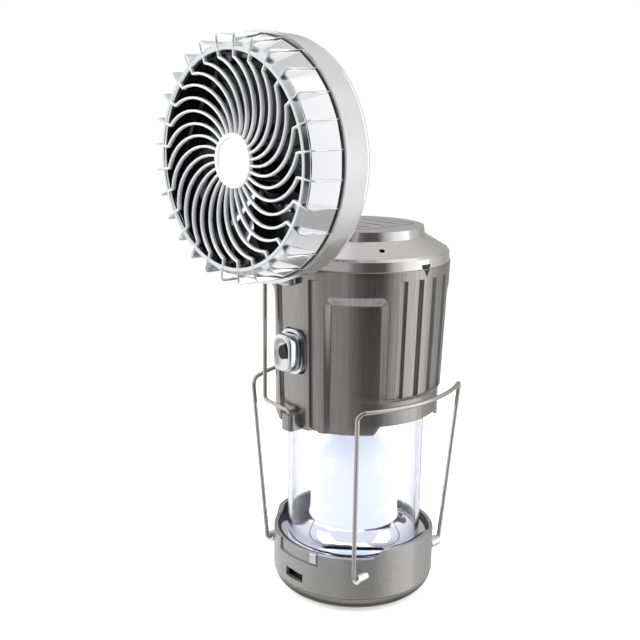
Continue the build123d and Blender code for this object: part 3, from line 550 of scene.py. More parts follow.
# --- housing
@dataclass
class HousingShell:
    """Sliding upper housing: a slow cone with bays, grooves, flutes and a notched rim.

    The radius is worked out at every angle and height. The features repeat in
    four quarters, so the angle is folded to 0 at the strip and 90 at the side.
    """

    rim_radius: float = 41.7
    taper: float = 2.4
    bottom: float = 92.0
    top: float = 169.8
    bore: float = 38.9
    top_rounding: tuple[float, float] = (0.5, 0.35)
    rim_rounding: tuple[tuple[float, float], ...] = ((0.0, 0.25), (0.15, 0.08), (0.5, 0.0))
    notch_height: float = 4.3
    notch_angles: tuple[float, float] = (54.2, 60.8)
    soft_edge: float = 0.7
    groove_angles: tuple[float, float] = (11.9, 17.7)
    groove_depth: float = 1.7
    groove_top: float = 165.2
    groove_end: float = 0.6
    bay_angles: tuple[float, float] = (22.0, 62.0)
    bay_arc_radius: float = 42.3
    bay_bevel: float = 2.9
    bay_top_bevel: float = 4.2
    bay_straight: float = 0.8
    bay_corner: float = 3.6
    bay_top: float = 158.0
    floor_radius: float = 40.7
    band_top: float = 109.5
    band_bevel: float = 2.0
    band_angles: tuple[float, float] = (40.0, 44.0)
    flute_angles: tuple[float, float] = (71.25, 83.75)
    flute_arc_radius: float = 42.8
    flute_width: float = 3.0
    flute_depth: float = 1.7
    button_z: float = 130.0
    button_side: float = 60.0
    pocket: tuple[float, float, float] = (7.65, 10.65, 41.5)
    hole: tuple[float, float, float] = (7.2, 10.1, 39.1)
    column_step: float = 1.5
    row_step: float = 2.2

    def half_flute(self) -> float:
        """Half a flute's width, as an angle round the body."""
        return math.degrees(self.flute_width / 2 / self.flute_arc_radius)

    def columns(self) -> np.ndarray:
        """Angles round the body, close together at each edge of a feature.

        Returns:
            Angles of one turn, in order.
        """
        bevel_foot, button_edges = 3.4, (8.7, 10.2)
        edges = [*self.groove_angles, *self.bay_angles, *self.notch_angles, *button_edges]
        edges += [self.bay_angles[0] + bevel_foot, self.bay_angles[1] - bevel_foot]
        edges += [angle + turn * self.half_flute() for angle in self.flute_angles for turn in (-1, 1)]
        near = np.array([-0.9, -0.55, -0.3, -0.1, 0.1, 0.3, 0.55, 0.9])
        close = (np.array(edges)[:, None] + near).ravel()
        quarter = np.concatenate([close, np.arange(0, 90, self.column_step)])
        quarter = quarter[(quarter >= 0) & (quarter <= 90)]
        turn = np.concatenate([quarter, 180 - quarter, 180 + quarter, 360 - quarter])
        return np.unique(np.round(turn % 360, 2))

    def rows(self) -> np.ndarray:
        """Heights of the outer rows, close together at each edge of a feature.

        Returns:
            Heights from just above the notched rim to the top, in order.
        """
        bevel_feet = [self.bay_top - 3.5, self.band_top - self.band_bevel]
        edges = np.array([self.groove_top, self.bay_top, self.band_top, *bevel_feet])
        near = np.array([-1.2, -0.7, -0.35, 0.0, 0.35, 0.7, 1.2])
        button = self.button_z + np.outer([-1, 1], [9.0, 9.4, 10.4, 10.8, 11.2]).ravel()
        low = self.bottom + self.notch_height + 0.6
        ends = np.array([self.top - self.top_rounding[0], self.top - 0.2, self.top])
        even = np.arange(low, self.top - 1, self.row_step)
        levels = np.concatenate([(edges[:, None] + near).ravel(), button, ends, even])
        return np.unique(np.round(levels, 2))

    def bay(self, quarter: np.ndarray, z: np.ndarray) -> np.ndarray:
        """Share of the way down to the bay's floor.

        It is the distance in from a box with rounded corners over the bevel's
        width. The slope is mostly straight, with a smooth step for the rest.

        Args:
            quarter: Folded angles.
            z: Heights.

        Returns:
            Zero outside the bay and one on its floor.
        """
        arc = math.radians(1) * self.bay_arc_radius
        middle = sum(self.bay_angles) / 2
        half = (self.bay_angles[1] - self.bay_angles[0]) / 2 * arc
        across = np.abs(quarter - middle) * arc - (half - self.bay_corner)
        above = (z - self.bay_top) * self.bay_bevel / self.bay_top_bevel + self.bay_corner
        outside = np.hypot(np.maximum(across, 0), np.maximum(above, 0))
        distance = outside + np.minimum(np.maximum(across, above), 0) - self.bay_corner
        slope = np.clip(-distance / self.bay_bevel, 0, 1)
        return self.bay_straight * slope + (1 - self.bay_straight) * smooth_step(slope, 0, 1)

    def relief(self, angle: np.ndarray, z: np.ndarray) -> np.ndarray:
        """Outer radius at each angle and height.

        The cone is lowered to the floor of the bays and of the lower band, by
        soft-edged bands for the grooves and flutes, and round its top edge.
        Seats for the button are planes of constant reach in a rounded box.

        Args:
            angle: Angles round the body.
            z: Heights, in the same shape.

        Returns:
            Radii in the same shape.
        """
        quarter = folded(angle)
        cone = self.rim_radius + self.taper * (z - self.bottom) / (self.top - self.bottom)
        band = 1 - smooth_step(z, self.band_top - self.band_bevel, self.band_top)
        band = band * smooth_step(quarter, *self.band_angles)
        radius = cone - (cone - self.floor_radius) * np.maximum(self.bay(quarter, z), band)
        run_out = 1 - smooth_step(z, self.groove_top - self.groove_end, self.groove_top)
        groove = soft_band(quarter, *self.groove_angles, self.soft_edge)
        radius -= self.groove_depth * groove * run_out
        half = self.half_flute()
        for centre in self.flute_angles:
            flute = soft_band(quarter, centre - half, centre + half, self.soft_edge)
            radius -= self.flute_depth * flute * run_out * (1 - band)
        height, depth = self.top_rounding
        radius -= depth * smooth_step(z, self.top - height, self.top) ** 2
        front = np.abs((angle + 180) % 360 - 180) < self.button_side
        sideways = cone * np.sin(np.radians(angle))
        for width, height, depth in (self.pocket, self.hole):
            box = (np.abs(sideways) / width) ** 4 + (np.abs(z - self.button_z) / height) ** 4 < 1
            flat = depth / np.cos(np.radians(np.where(front, angle, 0)))
            radius = np.where(front & box, np.minimum(radius, flat), radius)
        return radius

    def build(self) -> bpy.types.Object:
        """Make the closed shell: outer rows, top edge, bore and rim joined in a ring.

        Returns:
            The object.
        """
        angle, level = self.columns(), self.rows()
        rim = self.bottom + self.notch_height * smooth_step(folded(angle), *self.notch_angles)
        start = level[0]
        lifts, cuts = np.array(self.rim_rounding).T[..., None]
        low = np.minimum(rim + lifts, start - 0.05)
        heights = np.concatenate([low, np.repeat(level[:, None], len(angle), axis=1)])
        radii = self.relief(np.broadcast_to(angle, heights.shape), heights)
        radii[: len(cuts)] -= cuts
        inside = np.stack([np.full(len(angle), self.top), np.full(len(angle), start), rim])
        heights = np.concatenate([heights, inside])
        radii = np.concatenate([radii, np.full(inside.shape, self.bore)])
        turn = np.radians(np.broadcast_to(angle, heights.shape))
        points = np.stack([radii * np.sin(turn), -radii * np.cos(turn), heights], axis=-1)
        faces = grid_faces(len(heights), len(angle), True, True)
        piece = make_piece("housing_shell", points.reshape(-1, 3), faces, 50.0)
        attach(piece, "housing")
        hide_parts("upper_housing")
        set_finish(piece, "gunmetal_paint")
        return piece


# --- button
@dataclass
class PushButton:
    """Chromed push button: a rounded block with a dished face."""

    centre_z: float = 130.0
    rear: float = 41.4
    front: float = 51.25
    half_width: float = 6.15
    half_height: float = 8.85
    squareness: float = 3.6
    dish: tuple[float, float] = (4.4, 6.7)
    dish_depth: float = 1.45
    pole: float = 0.01

    def outline(self, width: float, height: float, power: float, count: int = 96) -> np.ndarray:
        """Points of a superellipse: each axis is the signed 2/power root of cosine or sine.

        Args:
            width: Half its width.
            height: Half its height.
            power: Two for an ellipse, and more for a squarer shape.
            count: Number of points.

        Returns:
            Array of shape (count, 2).
        """
        turn = np.linspace(0, 2 * np.pi, count, endpoint=False)
        axes = np.stack([np.cos(turn), np.sin(turn)], axis=1)
        return np.array([width, height]) * np.sign(axes) * np.abs(axes) ** (2 / power)

    def build(self) -> bpy.types.Object:
        """Make the button as rings from its rear, over the rounded edge, into the dish.

        Each ring gives its reach, half its width, half its height and its power.

        Returns:
            The object.
        """
        w, h, n, f, pole = self.half_width, self.half_height, self.squareness, self.front, self.pole
        dish_w, dish_h = self.dish
        d = self.dish_depth
        rings = [
            (self.rear, pole, pole, n),
            (self.rear, w * 0.98, h * 0.98, n),
            (self.rear + 0.3, w, h, n),
            (f - 1.7, w, h, n),
            (f - 0.9, w - 0.12, h - 0.12, n),
            (f - 0.4, w - 0.4, h - 0.4, n * 0.97),
            (f - 0.1, w - 0.85, h - 0.85, n * 0.93),
            (f, w - 1.3, h - 1.35, n * 0.85),
            (f - 0.1, dish_w + 0.25, dish_h + 0.3, 2.9),
            (f - 0.35, dish_w, dish_h, 2.7),
            (f - 0.75 * d, dish_w * 0.8, dish_h * 0.82, 2.4),
            (f - 0.95 * d, dish_w * 0.55, dish_h * 0.6, 2.2),
            (f - d, dish_w * 0.3, dish_h * 0.3, 2.0),
            (f - d, pole, pole, 2.0),
        ]
        outlines = np.stack([self.outline(*ring[1:]) for ring in rings])
        reach = np.broadcast_to(np.array(rings)[:, :1], outlines.shape[:2])
        points = np.stack([outlines[..., 0], -reach, self.centre_z + outlines[..., 1]], axis=-1)
        faces = grid_faces(*reach.shape, False, True)
        piece = make_piece("button_dished", points.reshape(-1, 3), faces, 60.0)
        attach(piece, "button")
        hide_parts("button_cap")
        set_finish(piece, "chrome_plate")
        return piece


# --- fan
@dataclass
class FanDrum:
    """Facetted drum in front of the fan's band, with a thin fin at each of its corners."""

    rear: float = 66.0
    front: float = 80.0
    rear_radius: float = 52.0
    front_radius: float = 48.1
    wall: float = 1.3
    crown: float = 0.55
    facet_steps: int = 6
    fin_thickness: float = 0.95
    # Section of the black ring of painted shade behind the fins: out from the rear radius and ahead of the
    # rear.
    shadow_gap_offsets: tuple[tuple[float, float], ...] = ((-0.9, 0.02), (0.08, 0.02), (-0.02, 0.5), (-0.9, 0.5))

    def panels(self) -> bpy.types.Object:
        """Make the drum: a closed wall whose outline is between a polygon and its circle.

        Within each facet the radius is the corner's, times a mix of one and
        the polygon's cosine ratio, so each facet is slightly crowned.

        Returns:
            The object.
        """
        steps = self.facet_steps
        half = np.pi / CORNERS
        local = np.tile(np.arange(steps) / steps * 2 - 1, CORNERS) * half
        count = CORNERS * steps
        turn = np.arange(count) / count * 2 * np.pi + math.radians(CORNER_PHASE)
        share = self.crown + (1 - self.crown) * np.cos(half) / np.cos(local)
        front, rear, wall = self.front_radius, self.rear_radius, self.wall
        profile = [(front, self.front), (front + 0.15, self.front - 0.4), (rear - 0.1, self.rear + 0.3)]
        profile += [(rear - 0.4, self.rear), (rear - wall, self.rear), (front - wall, self.front)]
        points, faces = revolved(profile, turn, share)
        return make_piece("drum_facets", points, faces[:, ::-1], 5.0)

    def fins(self) -> bpy.types.Object:
        """Make the fins: each row runs from a foot in the wall to the outer edge.

        Each row gives the radius and reach of its foot and of its edge. The
        edge bows forward to a tip and then runs straight back to the band.

        Returns:
            The object.
        """
        rows = np.array([
            (45.0, 81.0, 45.0, 81.9),
            (45.9, 80.6, 46.6, 82.15),
            (46.8, 80.2, 48.4, 82.25),
            (47.2, 79.6, 50.2, 82.2),
            (47.4, 78.8, 51.5, 81.8),
            (47.6, 77.8, 52.0, 81.0),
            (48.1, 76.0, 52.1, 79.5),
            (49.4, 72.0, 52.2, 74.0),
            (51.1, 66.9, 52.4, 66.9),
            (51.3, 66.1, 52.35, 66.1),
        ])
        foot, edge = rows[:, None, :2], rows[:, None, 2:]
        share = np.array([0.0, 0.5, 0.92, 1.0, 1.0, 0.92, 0.5, 0.0])
        side = np.array([1.0, 0.9, 0.7, 0.3, -0.3, -0.7, -0.9, -1.0]) * self.fin_thickness / 2
        place = foot + (edge - foot) * share[:, None]
        x, reach = place[..., 0], place[..., 1]
        faces = np.concatenate([grid_faces(*x.shape, False, True), close_ends(*x.shape)])
        grid = (x, np.broadcast_to(side, x.shape), reach)
        points, numbers = spun(grid, faces, CORNERS, CORNER_PHASE)
        return make_piece("drum_fins", points, numbers, 40.0)

    def painted_shade_ring(self) -> bpy.types.Object:
        """Make a black ring between the drum and the band that the fins cross, painted shade for the shadow
        in the gap there.
        """
        section = [(self.rear_radius + out, self.rear + ahead) for out, ahead in self.shadow_gap_offsets]
        return turned("drum_painted_shade_ring", section)

    def build(self) -> list[bpy.types.Object]:
        """Make the facets, the fins and the black ring of painted shade behind them.

        Returns:
            The three objects.
        """
        pieces = [self.panels(), self.fins(), self.painted_shade_ring()]
        for piece, slot in zip(pieces, ("fan_silver", "fan_silver", "black_plastic")):
            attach(piece, "fan_head")
            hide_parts("fan_drum")
            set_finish(piece, slot)
        return pieces


@dataclass
class FanFront:
    """Front grille: a ring, curved spokes and the disc that they spring from."""

    ring_bore: float = 44.7
    ring_radius: float = 48.3
    ring_front: float = 81.8
    ring_outer_reach: float = 79.5
    ring_depth: float = 2.6
    spoke_width: float = 1.15
    spoke_depth: float = 1.9
    spoke_root: float = 1.2
    spoke_recess: float = 0.35
    spoke_rise: float = 2.7
    rise_radii: tuple[float, float] = (12.0, 45.0)
    end_radii: tuple[float, float, float] = (44.4, 45.6, 46.8)
    arc_radius: float = 21.6
    arc_angle: float = 105.0
    arc_steps: int = 30
    hub_radius: float = 11.5
    hub_front: float = 79.7
    hub_depth: float = 2.4
    recess_radius: float = 9.8
    recess_depth: float = 0.8
    pole: float = 0.02

    def route(self) -> tuple[np.ndarray, np.ndarray]:
        """A spoke's line and its direction, in the fan's plane, with its end turned to angle zero.

        An arc leaves the hub straight outward and turns by the arc angle, and
        a short straight run then goes on outward across the ring.

        Returns:
            Points of the line, and a unit vector along it at each of them.
        """
        turn = np.radians(np.linspace(0, self.arc_angle, self.arc_steps))
        arc = self.arc_radius * np.stack([np.sin(turn), 1 - np.cos(turn)], axis=1)
        arc[:, 0] += self.hub_radius
        start = np.array([[self.hub_radius - self.spoke_root, 0.0]])
        far = np.linalg.norm(arc[-1])
        end = arc[-1] / far
        reach = np.array([far + 0.5, far + 1.2, *self.end_radii])
        line = np.concatenate([start, arc, end * reach[:, None]])
        angle = -math.atan2(end[1], end[0])
        spin = np.array([[math.cos(angle), -math.sin(angle)], [math.sin(angle), math.cos(angle)]])
        line = line @ spin.T
        ahead = np.gradient(line, axis=0)
        return line, ahead / np.linalg.norm(ahead, axis=1)[:, None]

    def spokes(self) -> bpy.types.Object:
        """Make all spokes: a rounded front on a flat-backed section that rises towards the ring.

        Returns:
            The object.
        """
        line, ahead = self.route()
        side = np.stack([-ahead[:, 1], ahead[:, 0]], axis=1)
        radius = np.linalg.norm(line, axis=1)
        lift = self.spoke_rise * smooth_step(radius, *self.rise_radii)
        front = self.hub_front - self.spoke_recess + lift
        across = np.array([-0.8, -1.0, -0.95, -0.55, 0.0, 0.0, 0.55, 0.95, 1.0, 0.8])
        across = across * self.spoke_width / 2
        rise = np.array([0.0, 0.1, 0.78, 0.95, 1.0, 1.0, 0.95, 0.78, 0.1, 0.0])
        flat = line[:, None, :] + across[None, :, None] * side[:, None, :]
        depth = front[:, None] - self.spoke_depth * (1 - rise[None, :])
        faces = np.concatenate([grid_faces(*depth.shape, False, True), close_ends(*depth.shape)])
        grid = (flat[..., 0], flat[..., 1], depth)
        points, numbers = spun(grid, faces[:, ::-1], CORNERS, CORNER_PHASE)
        return make_piece("grille_spokes", points, numbers, 50.0)

    def ring(self) -> bpy.types.Object:
        """Make the ring: a flat bright front and a straight flank that leans back to the drum.

        Returns:
            The object.
        """
        bore, outer = self.ring_bore, self.ring_radius
        front, rear = self.ring_front, self.ring_outer_reach
        low = front - self.ring_depth
        nose = [(0.1, 0.3), (0.3, 0.08), (0.55, 0.0), (1.5, 0.0), (1.75, 0.05)]
        profile = [(bore, low)] + [(bore + out, front - back) for out, back in nose]
        start, end = np.array([bore + 1.95, front - 0.2]), np.array([outer, rear])
        profile += [tuple(start + (end - start) * t) for t in (0.0, 0.06, 0.94, 1.0)]
        profile += [(outer - 0.1, rear - 0.25), (outer - 0.4, low)]
        return turned("grille_ring", profile[::-1])

    def hub(self) -> bpy.types.Object:
        """Make the disc: a flat rim round a shallow recess.

        Returns:
            The object.
        """
        edge, inner, front = self.hub_radius, self.recess_radius, self.hub_front
        rear, seat = front - self.hub_depth, front - self.recess_depth
        disc = [(self.pole, rear), (edge - 0.2, rear), (edge, rear + 0.2), (edge, front - 0.3)]
        disc += [(edge - 0.1, front - 0.1), (edge - 0.3, front), (inner + 0.15, front)]
        disc += [(inner, front - 0.12), (inner, seat), (inner - 0.25, seat - 0.1), (inner - 0.5, seat)]
        return turned("grille_hub", [*disc, (self.pole, seat + 0.1)], 120)

    def build(self) -> list[bpy.types.Object]:
        """Make the ring, the hub's disc and the spokes.

        Returns:
            The three objects.
        """
        pieces = [self.ring(), self.hub(), self.spokes()]
        for piece, slot in zip(pieces, ("chrome_plate", "hub_white", "fan_silver")):
            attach(piece, "fan_head")
            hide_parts("front_grille", "hub_cap")
            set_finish(piece, slot)
        return pieces


@dataclass
class Impeller:
    """Five broad glossy blades that twist and cup as they leave a round hub."""

    rear: float = 60.8
    front: float = 74.8
    hub_radius: float = 13.5
    hub_bore: float = 12.3
    hub_steps: int = 96
    face: float = 1.6
    root: float = 0.6
    tip_radius: float = 42.3
    tip_rounding: float = 0.06
    blade_count: int = 5
    blade_width_deg: float = 63.0
    blade_waist: float = 0.08
    blade_depth: float = 10.4
    flattening: float = 0.12
    thickness: float = 1.2
    thinning: float = 0.35
    cup: float = 1.6
    sweep_deg: float = 14.0
    pole: float = 0.02

    def blade(self, rows: int = 22, columns: int = 26) -> tuple[np.ndarray, np.ndarray, np.ndarray]:
        """Both faces of one blade, as a closed band of columns.

        The radius runs from hub to tip. Across the blade the angle runs over
        its width and the reach rises in step, with a parabola for the cup. The
        leading edge sweeps round with the square of the radius, and the
        corners at the tip are drawn in by a fourth power.

        Args:
            rows: Points from hub to tip.
            columns: Points across one face.

        Returns:
            Across, up and reach arrays.
        """
        run = np.linspace(0, 1, rows)[:, None]
        over = np.linspace(-1, 1, columns)[None, :]
        start = self.hub_radius - self.root
        radius = start + (self.tip_radius - start) * run
        radius = radius - (radius - self.hub_radius) * self.tip_rounding * over**4 * run
        bulge = 1 - self.blade_waist + self.blade_waist * np.sin(np.pi * run)
        swept = math.radians(self.sweep_deg) * run**2
        turn = over * math.radians(self.blade_width_deg / 2) * bulge + swept
        slant = over * self.blade_depth / 2 * (1 - self.flattening * run)
        reach = (self.rear + self.front) / 2 + slant + self.cup * (over**2 - 0.5)
        edge = np.clip((1 - np.abs(over)) * 6, 0.12, 1.0)
        half = self.thickness / 2 * edge * (1 - self.thinning * run)
        x, up = radius * np.cos(turn), radius * np.sin(turn)
        pairs = ((x, x), (up, up), (reach + half, reach - half))
        joined = [np.concatenate([front, back[:, ::-1]], axis=1) for front, back in pairs]
        return joined[0], joined[1], joined[2]

    def build(self) -> bpy.types.Object:
        """Make the blades and the hub as one moulding.

        Returns:
            The object.
        """
        grid = self.blade()
        rows, columns = grid[0].shape
        tip = np.roll(close_ends(rows, columns)[columns // 2 - 1 :], 1, axis=1)
        faces = np.concatenate([grid_faces(rows, columns, False, True), tip])
        points, numbers = spun(grid, faces, self.blade_count)
        hub, front, seat = self.hub_radius, self.front, self.front - self.face
        profile = [(hub, self.rear), (hub, front - 1.2), (hub - 0.35, front - 0.35), (hub - 1.2, front)]
        profile += [(self.pole, front), (self.pole, seat)]
        profile += [(self.hub_bore, seat), (self.hub_bore, self.rear)]
        turn = np.linspace(0, 2 * np.pi, self.hub_steps, endpoint=False)
        hub_points, hub_faces = revolved(profile, turn)
        numbers = np.concatenate([numbers, hub_faces + len(points)])
        piece = make_piece("impeller_moulding", np.concatenate([points, hub_points]), numbers, 40.0)
        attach(piece, "rotor")
        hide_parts("impeller")
        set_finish(piece, "impeller_black")
        return piece


# --- marks
@dataclass
class CapMark:
    """Small printed arrow on the cap's skirt that shows which way to pull."""

    angle: float = 87.6
    cap_radius: float = 43.56
    joint_z: float = 169.8
    housing_radius: float = 44.14
    housing_slope: float = 0.0308
    top: float = 171.8
    bottom: float = 166.4
    half_width: float = 2.8
    shoulder: float = 0.15
    film: float = 0.03

    def build(self) -> bpy.types.Object:
        """Make the arrow as a thin curved patch: its width shrinks to a point with depth.

        Returns:
            The object.
        """
        down = np.linspace(0, 1, 12)[:, None]
        across = np.linspace(-1, 1, 13)[None, :]
        narrowing = (1 - down) / (1 - self.shoulder) + 0.02
        wide = self.half_width * np.where(down < self.shoulder, 1.0, narrowing)
        z = self.top + (self.bottom - self.top) * down + 0 * across
        below = self.housing_radius - self.housing_slope * (self.joint_z - z)
        radius = np.where(z > self.joint_z, self.cap_radius, below)
        turn = math.radians(self.angle) + wide * across / radius
        skins = (radius, radius - self.film)
        front, back = (np.stack([r * np.sin(turn), -r * np.cos(turn), z], axis=-1) for r in skins)
        both = np.concatenate([front, back[:, ::-1]], axis=1)
        faces = grid_faces(*both.shape[:2], False, True)[:, ::-1]
        piece = make_piece("cap_arrow", both.reshape(-1, 3), faces)
        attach(piece, "housing")
        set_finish(piece, "black_plastic")
        return piece


# --- studio
class Seen(Enum):
    """How bright the studio's ring of cards and flags is, by angle round the lantern."""

    BACK_LEFT = (-180.0, 0.42)
    LEFT_DARK = (-132.0, 0.44)
    LEFT_CARD = (-112.0, 0.95)
    LEFT_EDGE = (-45.0, 0.95)
    FRONT_LEFT = (-25.0, 0.72)
    FRONT = (-4.0, 0.46)
    FRONT_RIGHT = (28.0, 0.46)
    FLAG_START = (38.0, 0.17)
    FLAG = (54.0, 0.05)
    FLAG_END = (74.0, 0.05)
    EDGE = (92.0, 0.65)
    CARD = (108.0, 1.15)
    CARD_END = (135.0, 1.5)
    RIGHT = (147.0, 0.7)
    BACK_RIGHT = (160.0, 0.62)
    BACK = (180.0, 0.42)


class Pale(Enum):
    """Where the ring turns pale: the ray's rise at its start and its full share, and that share."""

    CEILING = (0.3, 0.75, 0.5)
    GROUND = (-0.75, -0.97, 1.0)
    BOUNCE = (-0.26, -0.36, 0.2)


@dataclass
class Studio:
    """Floor, world, soft lights and the camera."""

    distance: float = 460.279
    height: float = 247.184
    azimuth: float = 42.994
    yaw: float = 2.332
    pitch: float = 13.4
    roll: float = 0.751
    lens: float = 53.694
    floor_half_m: float = 6.0
    floor_drop_m: float = 0.0002
    floor_lift: float = 0.55
    floor_fade_m: tuple[float, float] = (0.25, 0.6)
    floor_grain_mm: float = 25.0
    floor_gloss: tuple[float, float] = (0.85, 0.95)
    pale_level: float = 0.95
    coolness: float = 1.01
    dip: tuple[float, float, float] = (-0.5, -0.62, 0.33)
    aim_m: tuple[float, float, float] = (0.0, 0.0, 0.13)

    def camera(self) -> None:
        """Place the camera from its fitted distance, height and angles."""
        azimuth = math.radians(self.azimuth)
        heading = Matrix.Rotation(math.radians(self.azimuth + self.yaw), 4, "Z")
        tilt = Matrix.Rotation(math.radians(90 - self.pitch), 4, "X")
        roll = Matrix.Rotation(math.radians(self.roll), 4, "Z")
        data = bpy.data.cameras.new("camera")
        data.lens = self.lens
        data.sensor_width = 36.0
        data.clip_start = 0.01
        camera = bpy.data.objects.new("camera", data)
        away = self.distance
        spot = Vector((away * math.sin(azimuth), -away * math.cos(azimuth), self.height))
        camera.matrix_world = Matrix.Translation(spot * MM) @ heading @ tilt @ roll
        bpy.context.scene.collection.objects.link(camera)
        bpy.context.scene.camera = camera

    def floor(self) -> None:
        """Lay a wide pale floor that the camera sees as white apart from the lantern's shadow."""
        m = Shell("pale_matt_floor")
        rough = m.drift(m.place, self.floor_grain_mm, *self.floor_gloss)
        m.set(Base_Color=srgb("ededed"), Roughness=rough, Specular_IOR_Level=0.0)
        white = m.add("Emission", {"Color": srgb("ffffff"), "Strength": self.floor_lift})
        lifted = m.add("AddShader", {0: m.surface, 1: white})
        camera_ray = m.add("LightPath").outputs["Is Camera Ray"]
        near = m.add("MixShader", {0: camera_ray, 1: m.surface, 2: lifted})
        far_white = m.add("Emission", {"Color": srgb("ffffff"), "Strength": 1.0})
        length = m.add("VectorMath", {0: m.place}, operation="LENGTH").outputs["Value"]
        low, high = self.floor_fade_m
        far = m.add("MapRange", {"Value": length, "From Min": low, "From Max": high})
        feed(m.tree, m.output.inputs["Surface"], m.add("MixShader", {0: far, 1: near, 2: far_white}))
        half, z = self.floor_half_m, -self.floor_drop_m
        corners = [(-half, -half, z), (half, -half, z), (half, half, z), (-half, half, z)]
        mesh = bpy.data.meshes.new("floor")
        mesh.from_pydata(corners, [], [(0, 1, 2, 3)])
        mesh.materials.append(m.material)
        floor = bpy.data.objects.new("floor", mesh)
        floor.visible_glossy = False
        bpy.context.scene.collection.objects.link(floor)

    def ring(self, tree: bpy.types.NodeTree, parts: bpy.types.bpy_prop_collection) -> bpy.types.Node:
        """Colour of the cards and flags by the ray's angle round the lantern.

        Args:
            tree: The world's node tree.
            parts: Outputs X, Y and Z of the ray's direction.

        Returns:
            The colour ramp's node.
        """
        back = add_node(tree, "Math", {0: parts["Y"], 1: -1.0}, operation="MULTIPLY")
        turn = add_node(tree, "Math", {0: parts["X"], 1: back}, operation="ARCTAN2")
        place = add_node(tree, "MapRange", {"Value": turn, "From Min": -math.pi, "From Max": math.pi})
        ramp = add_node(tree, "ValToRGB", {"Fac": place})
        ramp.color_ramp.interpolation = "EASE"
        stops = ramp.color_ramp.elements
        for index, stop in enumerate(Seen):
            angle, level = stop.value
            element = stops[index] if index < 2 else stops.new((angle + 180) / 360)
            element.position = (angle + 180) / 360
            element.color = (level, level, level * self.coolness, 1.0)
        return ramp

    def world(self) -> None:
        """Light with a ring of cards and flags, and show white to the camera and through glass."""
        world = bpy.data.worlds.new("studio")
        bpy.context.scene.world = world
        world.use_nodes = True
        tree = world.node_tree
        tree.nodes.clear()
        way = add_node(tree, "TexCoord").outputs["Generated"]
        parts = add_node(tree, "SeparateXYZ", {"Vector": way}).outputs
        start, full, level = self.dip
        dip = add_node(tree, "MapRange", {"Value": parts["Z"], "From Min": start, "From Max": full})
        shade = {0: dip, 6: self.ring(tree, parts), 7: (level, level, level, 1.0)}
        low = add_node(tree, "Mix", shade, data_type="RGBA")
        pale = 0.0
        for band in Pale:
            start, full, share = band.value
            span = {"Value": parts["Z"], "From Min": start, "From Max": full, "To Max": share}
            more = add_node(tree, "MapRange", span)
            pale = add_node(tree, "Math", {0: pale, 1: more}, operation="MAXIMUM")
        sky = {0: pale, 6: low.outputs[2], 7: (self.pale_level, self.pale_level, self.pale_level, 1.0)}
        cards = add_node(tree, "Mix", sky, data_type="RGBA").outputs[2]
        ring = add_node(tree, "Background", {"Color": cards, "Strength": 1.0})
        white = add_node(tree, "Background", {"Color": srgb("ffffff"), "Strength": 1.0})
        path = add_node(tree, "LightPath").outputs
        clear = {0: path["Is Camera Ray"], 1: path["Is Transmission Ray"]}
        seen = add_node(tree, "Math", clear, operation="MAXIMUM")
        mix = add_node(tree, "MixShader", {0: seen, 1: ring, 2: white})
        add_node(tree, "OutputWorld", {"Surface": mix})

    def softbox(
        self, name: str, place: tuple[float, float], size: tuple[float, float], power: float
    ) -> None:
        """Hang a rectangular light a metre away that faces the lantern and has no mirror image.

        Args:
            name: The light's name.
            place: Its angle round the lantern and its angle above the ground.
            size: Its width and height in metres.
            power: Its power in watts.
        """
        azimuth, rise = map(math.radians, place)
        level = Vector((math.sin(azimuth), -math.cos(azimuth), 0.0)) * math.cos(rise)
        way = level + Vector((0.0, 0.0, math.sin(rise)))
        data = bpy.data.lights.new(name, "AREA")
        data.shape = "RECTANGLE"
        data.size, data.size_y = size
        data.energy = power
        light = bpy.data.objects.new(name, data)
        light.location = Vector(self.aim_m) + way
        light.rotation_mode = "QUATERNION"
        light.rotation_quaternion = (-way).to_track_quat("-Z", "Y")
        light.visible_glossy = False
        bpy.context.scene.collection.objects.link(light)

    def build(self) -> None:
        """Set the whole stage."""
        bpy.context.scene.view_settings.view_transform = "Standard"
        self.camera()
        self.floor()
        self.world()
        self.softbox("key", (-30.0, 35.0), (0.6, 0.9), 7.0)
        self.softbox("fill", (120.0, 25.0), (0.6, 0.9), 6.0)
        self.softbox("top", (40.0, 80.0), (0.9, 0.9), 6.0)


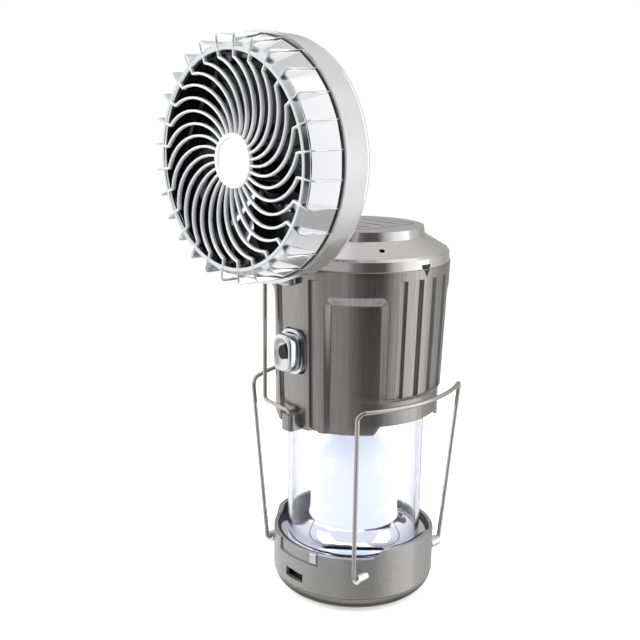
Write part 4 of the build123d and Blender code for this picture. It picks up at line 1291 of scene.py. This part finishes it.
# Finish of each material slot, and what it gives the eye.
FINISHES = {
    # Tall grey streaks on every curve.
    "gunmetal_paint": CombedLacquer("gunmetal_lacquer_combed_on_abs", "b0adaa", "9a9794"),
    # A warm, slightly blurred mirror.
    "cap_paint": SatinLacquer("bright_lacquer_on_abs", "dedcd9", metallic=0.96, roughness=0.14),
    # The brightest lacquer, with crisp light and dark facets.
    "fan_silver": SatinLacquer("silver_lacquer_on_abs", "ececed", metallic=0.97, roughness=0.12),
    # Dull black that holds no highlight.
    "black_plastic": Moulded("black_moulded_abs", "131315"),
    # Wet-looking black with narrow highlights.
    "impeller_black": Moulded("gloss_black_moulded_abs", "0b0b0d", roughness=0.12, grain_depth_mm=0.001),
    # White and black bands side by side.
    "chrome_plate": Polished("bright_chrome_plate_on_abs", "eceef2"),
    # A faintly blue mirror.
    "reflector_plate": Polished("vacuum_metallised_reflector", "e6e7f0"),
    # Thin lines of light, softer than chrome.
    "steel_wire": Polished("nickel_plated_drawn_wire", "cbc8c4", roughness=0.12),
    "clear_pc": ClearPolycarbonate(),
    "frosted_pc": FrostedPolycarbonate(),
    # Flat pale, green and blue faces inside, seen blurred if at all.
    "led_yellow": Moulded("phosphor_on_chip", "f3eec0"),
    "board_green": Moulded("solder_mask_on_fibreglass", "14502c"),
    "cell_wrap": Moulded("shrink_wrap_on_cell", "2b5fa8"),
    # A grey sheen without clear reflections.
    "motor_steel": Polished("zinc_plated_steel_can", "9c9c9c", roughness=0.3),
    # Clean white with one small highlight.
    "hub_white": Moulded("gloss_white_moulded_abs", "f0f0f2", roughness=0.2, grain_depth_mm=0.001),
    # Near black without shine.
    "foot_rubber": Moulded("matt_moulded_rubber", "1a1a1a", roughness=0.8),
}
# Nodes and pieces that look different from the rest of their slot.
OWN_FINISH = {
    # Smoother than the housing, so that it mirrors the light above.
    "top_disc": SatinLacquer("smooth_lacquer_on_abs", "d8d5d2", metallic=0.94, roughness=0.16),
    # Softer than the drum, an even silver band.
    "fan_rear_shell": SatinLacquer("brushed_silver_lacquer_on_abs", "f6f6f6", metallic=0.9, roughness=0.19),
    # Plain light grey between the spokes.
    "rear_grille": Moulded("grey_moulded_abs", "a3a1b0", roughness=0.5),
    # Broad soft gradients with a fine sparkle.
    "base_shell": SatinLacquer("satin_grey_lacquer_on_abs", "a8a7a6", metallic=0.75, roughness=0.28),
    # A bright rim over a dark edge of painted shade.
    "base_cover": FootShadeLacquer("polished_grey_lacquer_painted_foot_shade", "c4c2c0", "2c2b2a"),
    # Deep black glass.
    "button_insert": Moulded("gloss_black_lens", "050506", roughness=0.08, grain_depth_mm=0.0005),
    # Nearly white, so that the spokes stand out from the dark behind them.
    "grille_spokes": SatinLacquer("white_silver_lacquer_on_abs", "f6f6f8", metallic=0.5, roughness=0.24),
}


def main() -> None:
    """Build the stage, dress every CAD node and make the pieces that replace some."""
    logging.basicConfig(level=logging.INFO)
    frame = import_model()
    Studio().build()
    made = {slot: finish.build() for slot, finish in FINISHES.items()}
    own = {name: finish.build() for name, finish in OWN_FINISH.items()}
    slots = {s["node"]: s["material_slot"] for s in frame["record"]["subparts"]}
    for name, node in frame["nodes"].items():
        node.data.materials.clear()
        node.data.materials.append(own.get(name, made[slots[name]]))
        LOG.info("dressed %s with %s", name, node.data.materials[0].name)
    pieces = [HousingShell().build(), PushButton().build(), *FanDrum().build(), *FanFront().build()]
    pieces += [Impeller().build(), CapMark().build()]
    for piece in pieces:
        piece.data.materials.append(own.get(piece.name, made[piece["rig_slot"]]))
        LOG.info("made %s with %s", piece.name, piece.data.materials[0].name)


if __name__ == "__main__":
    main()
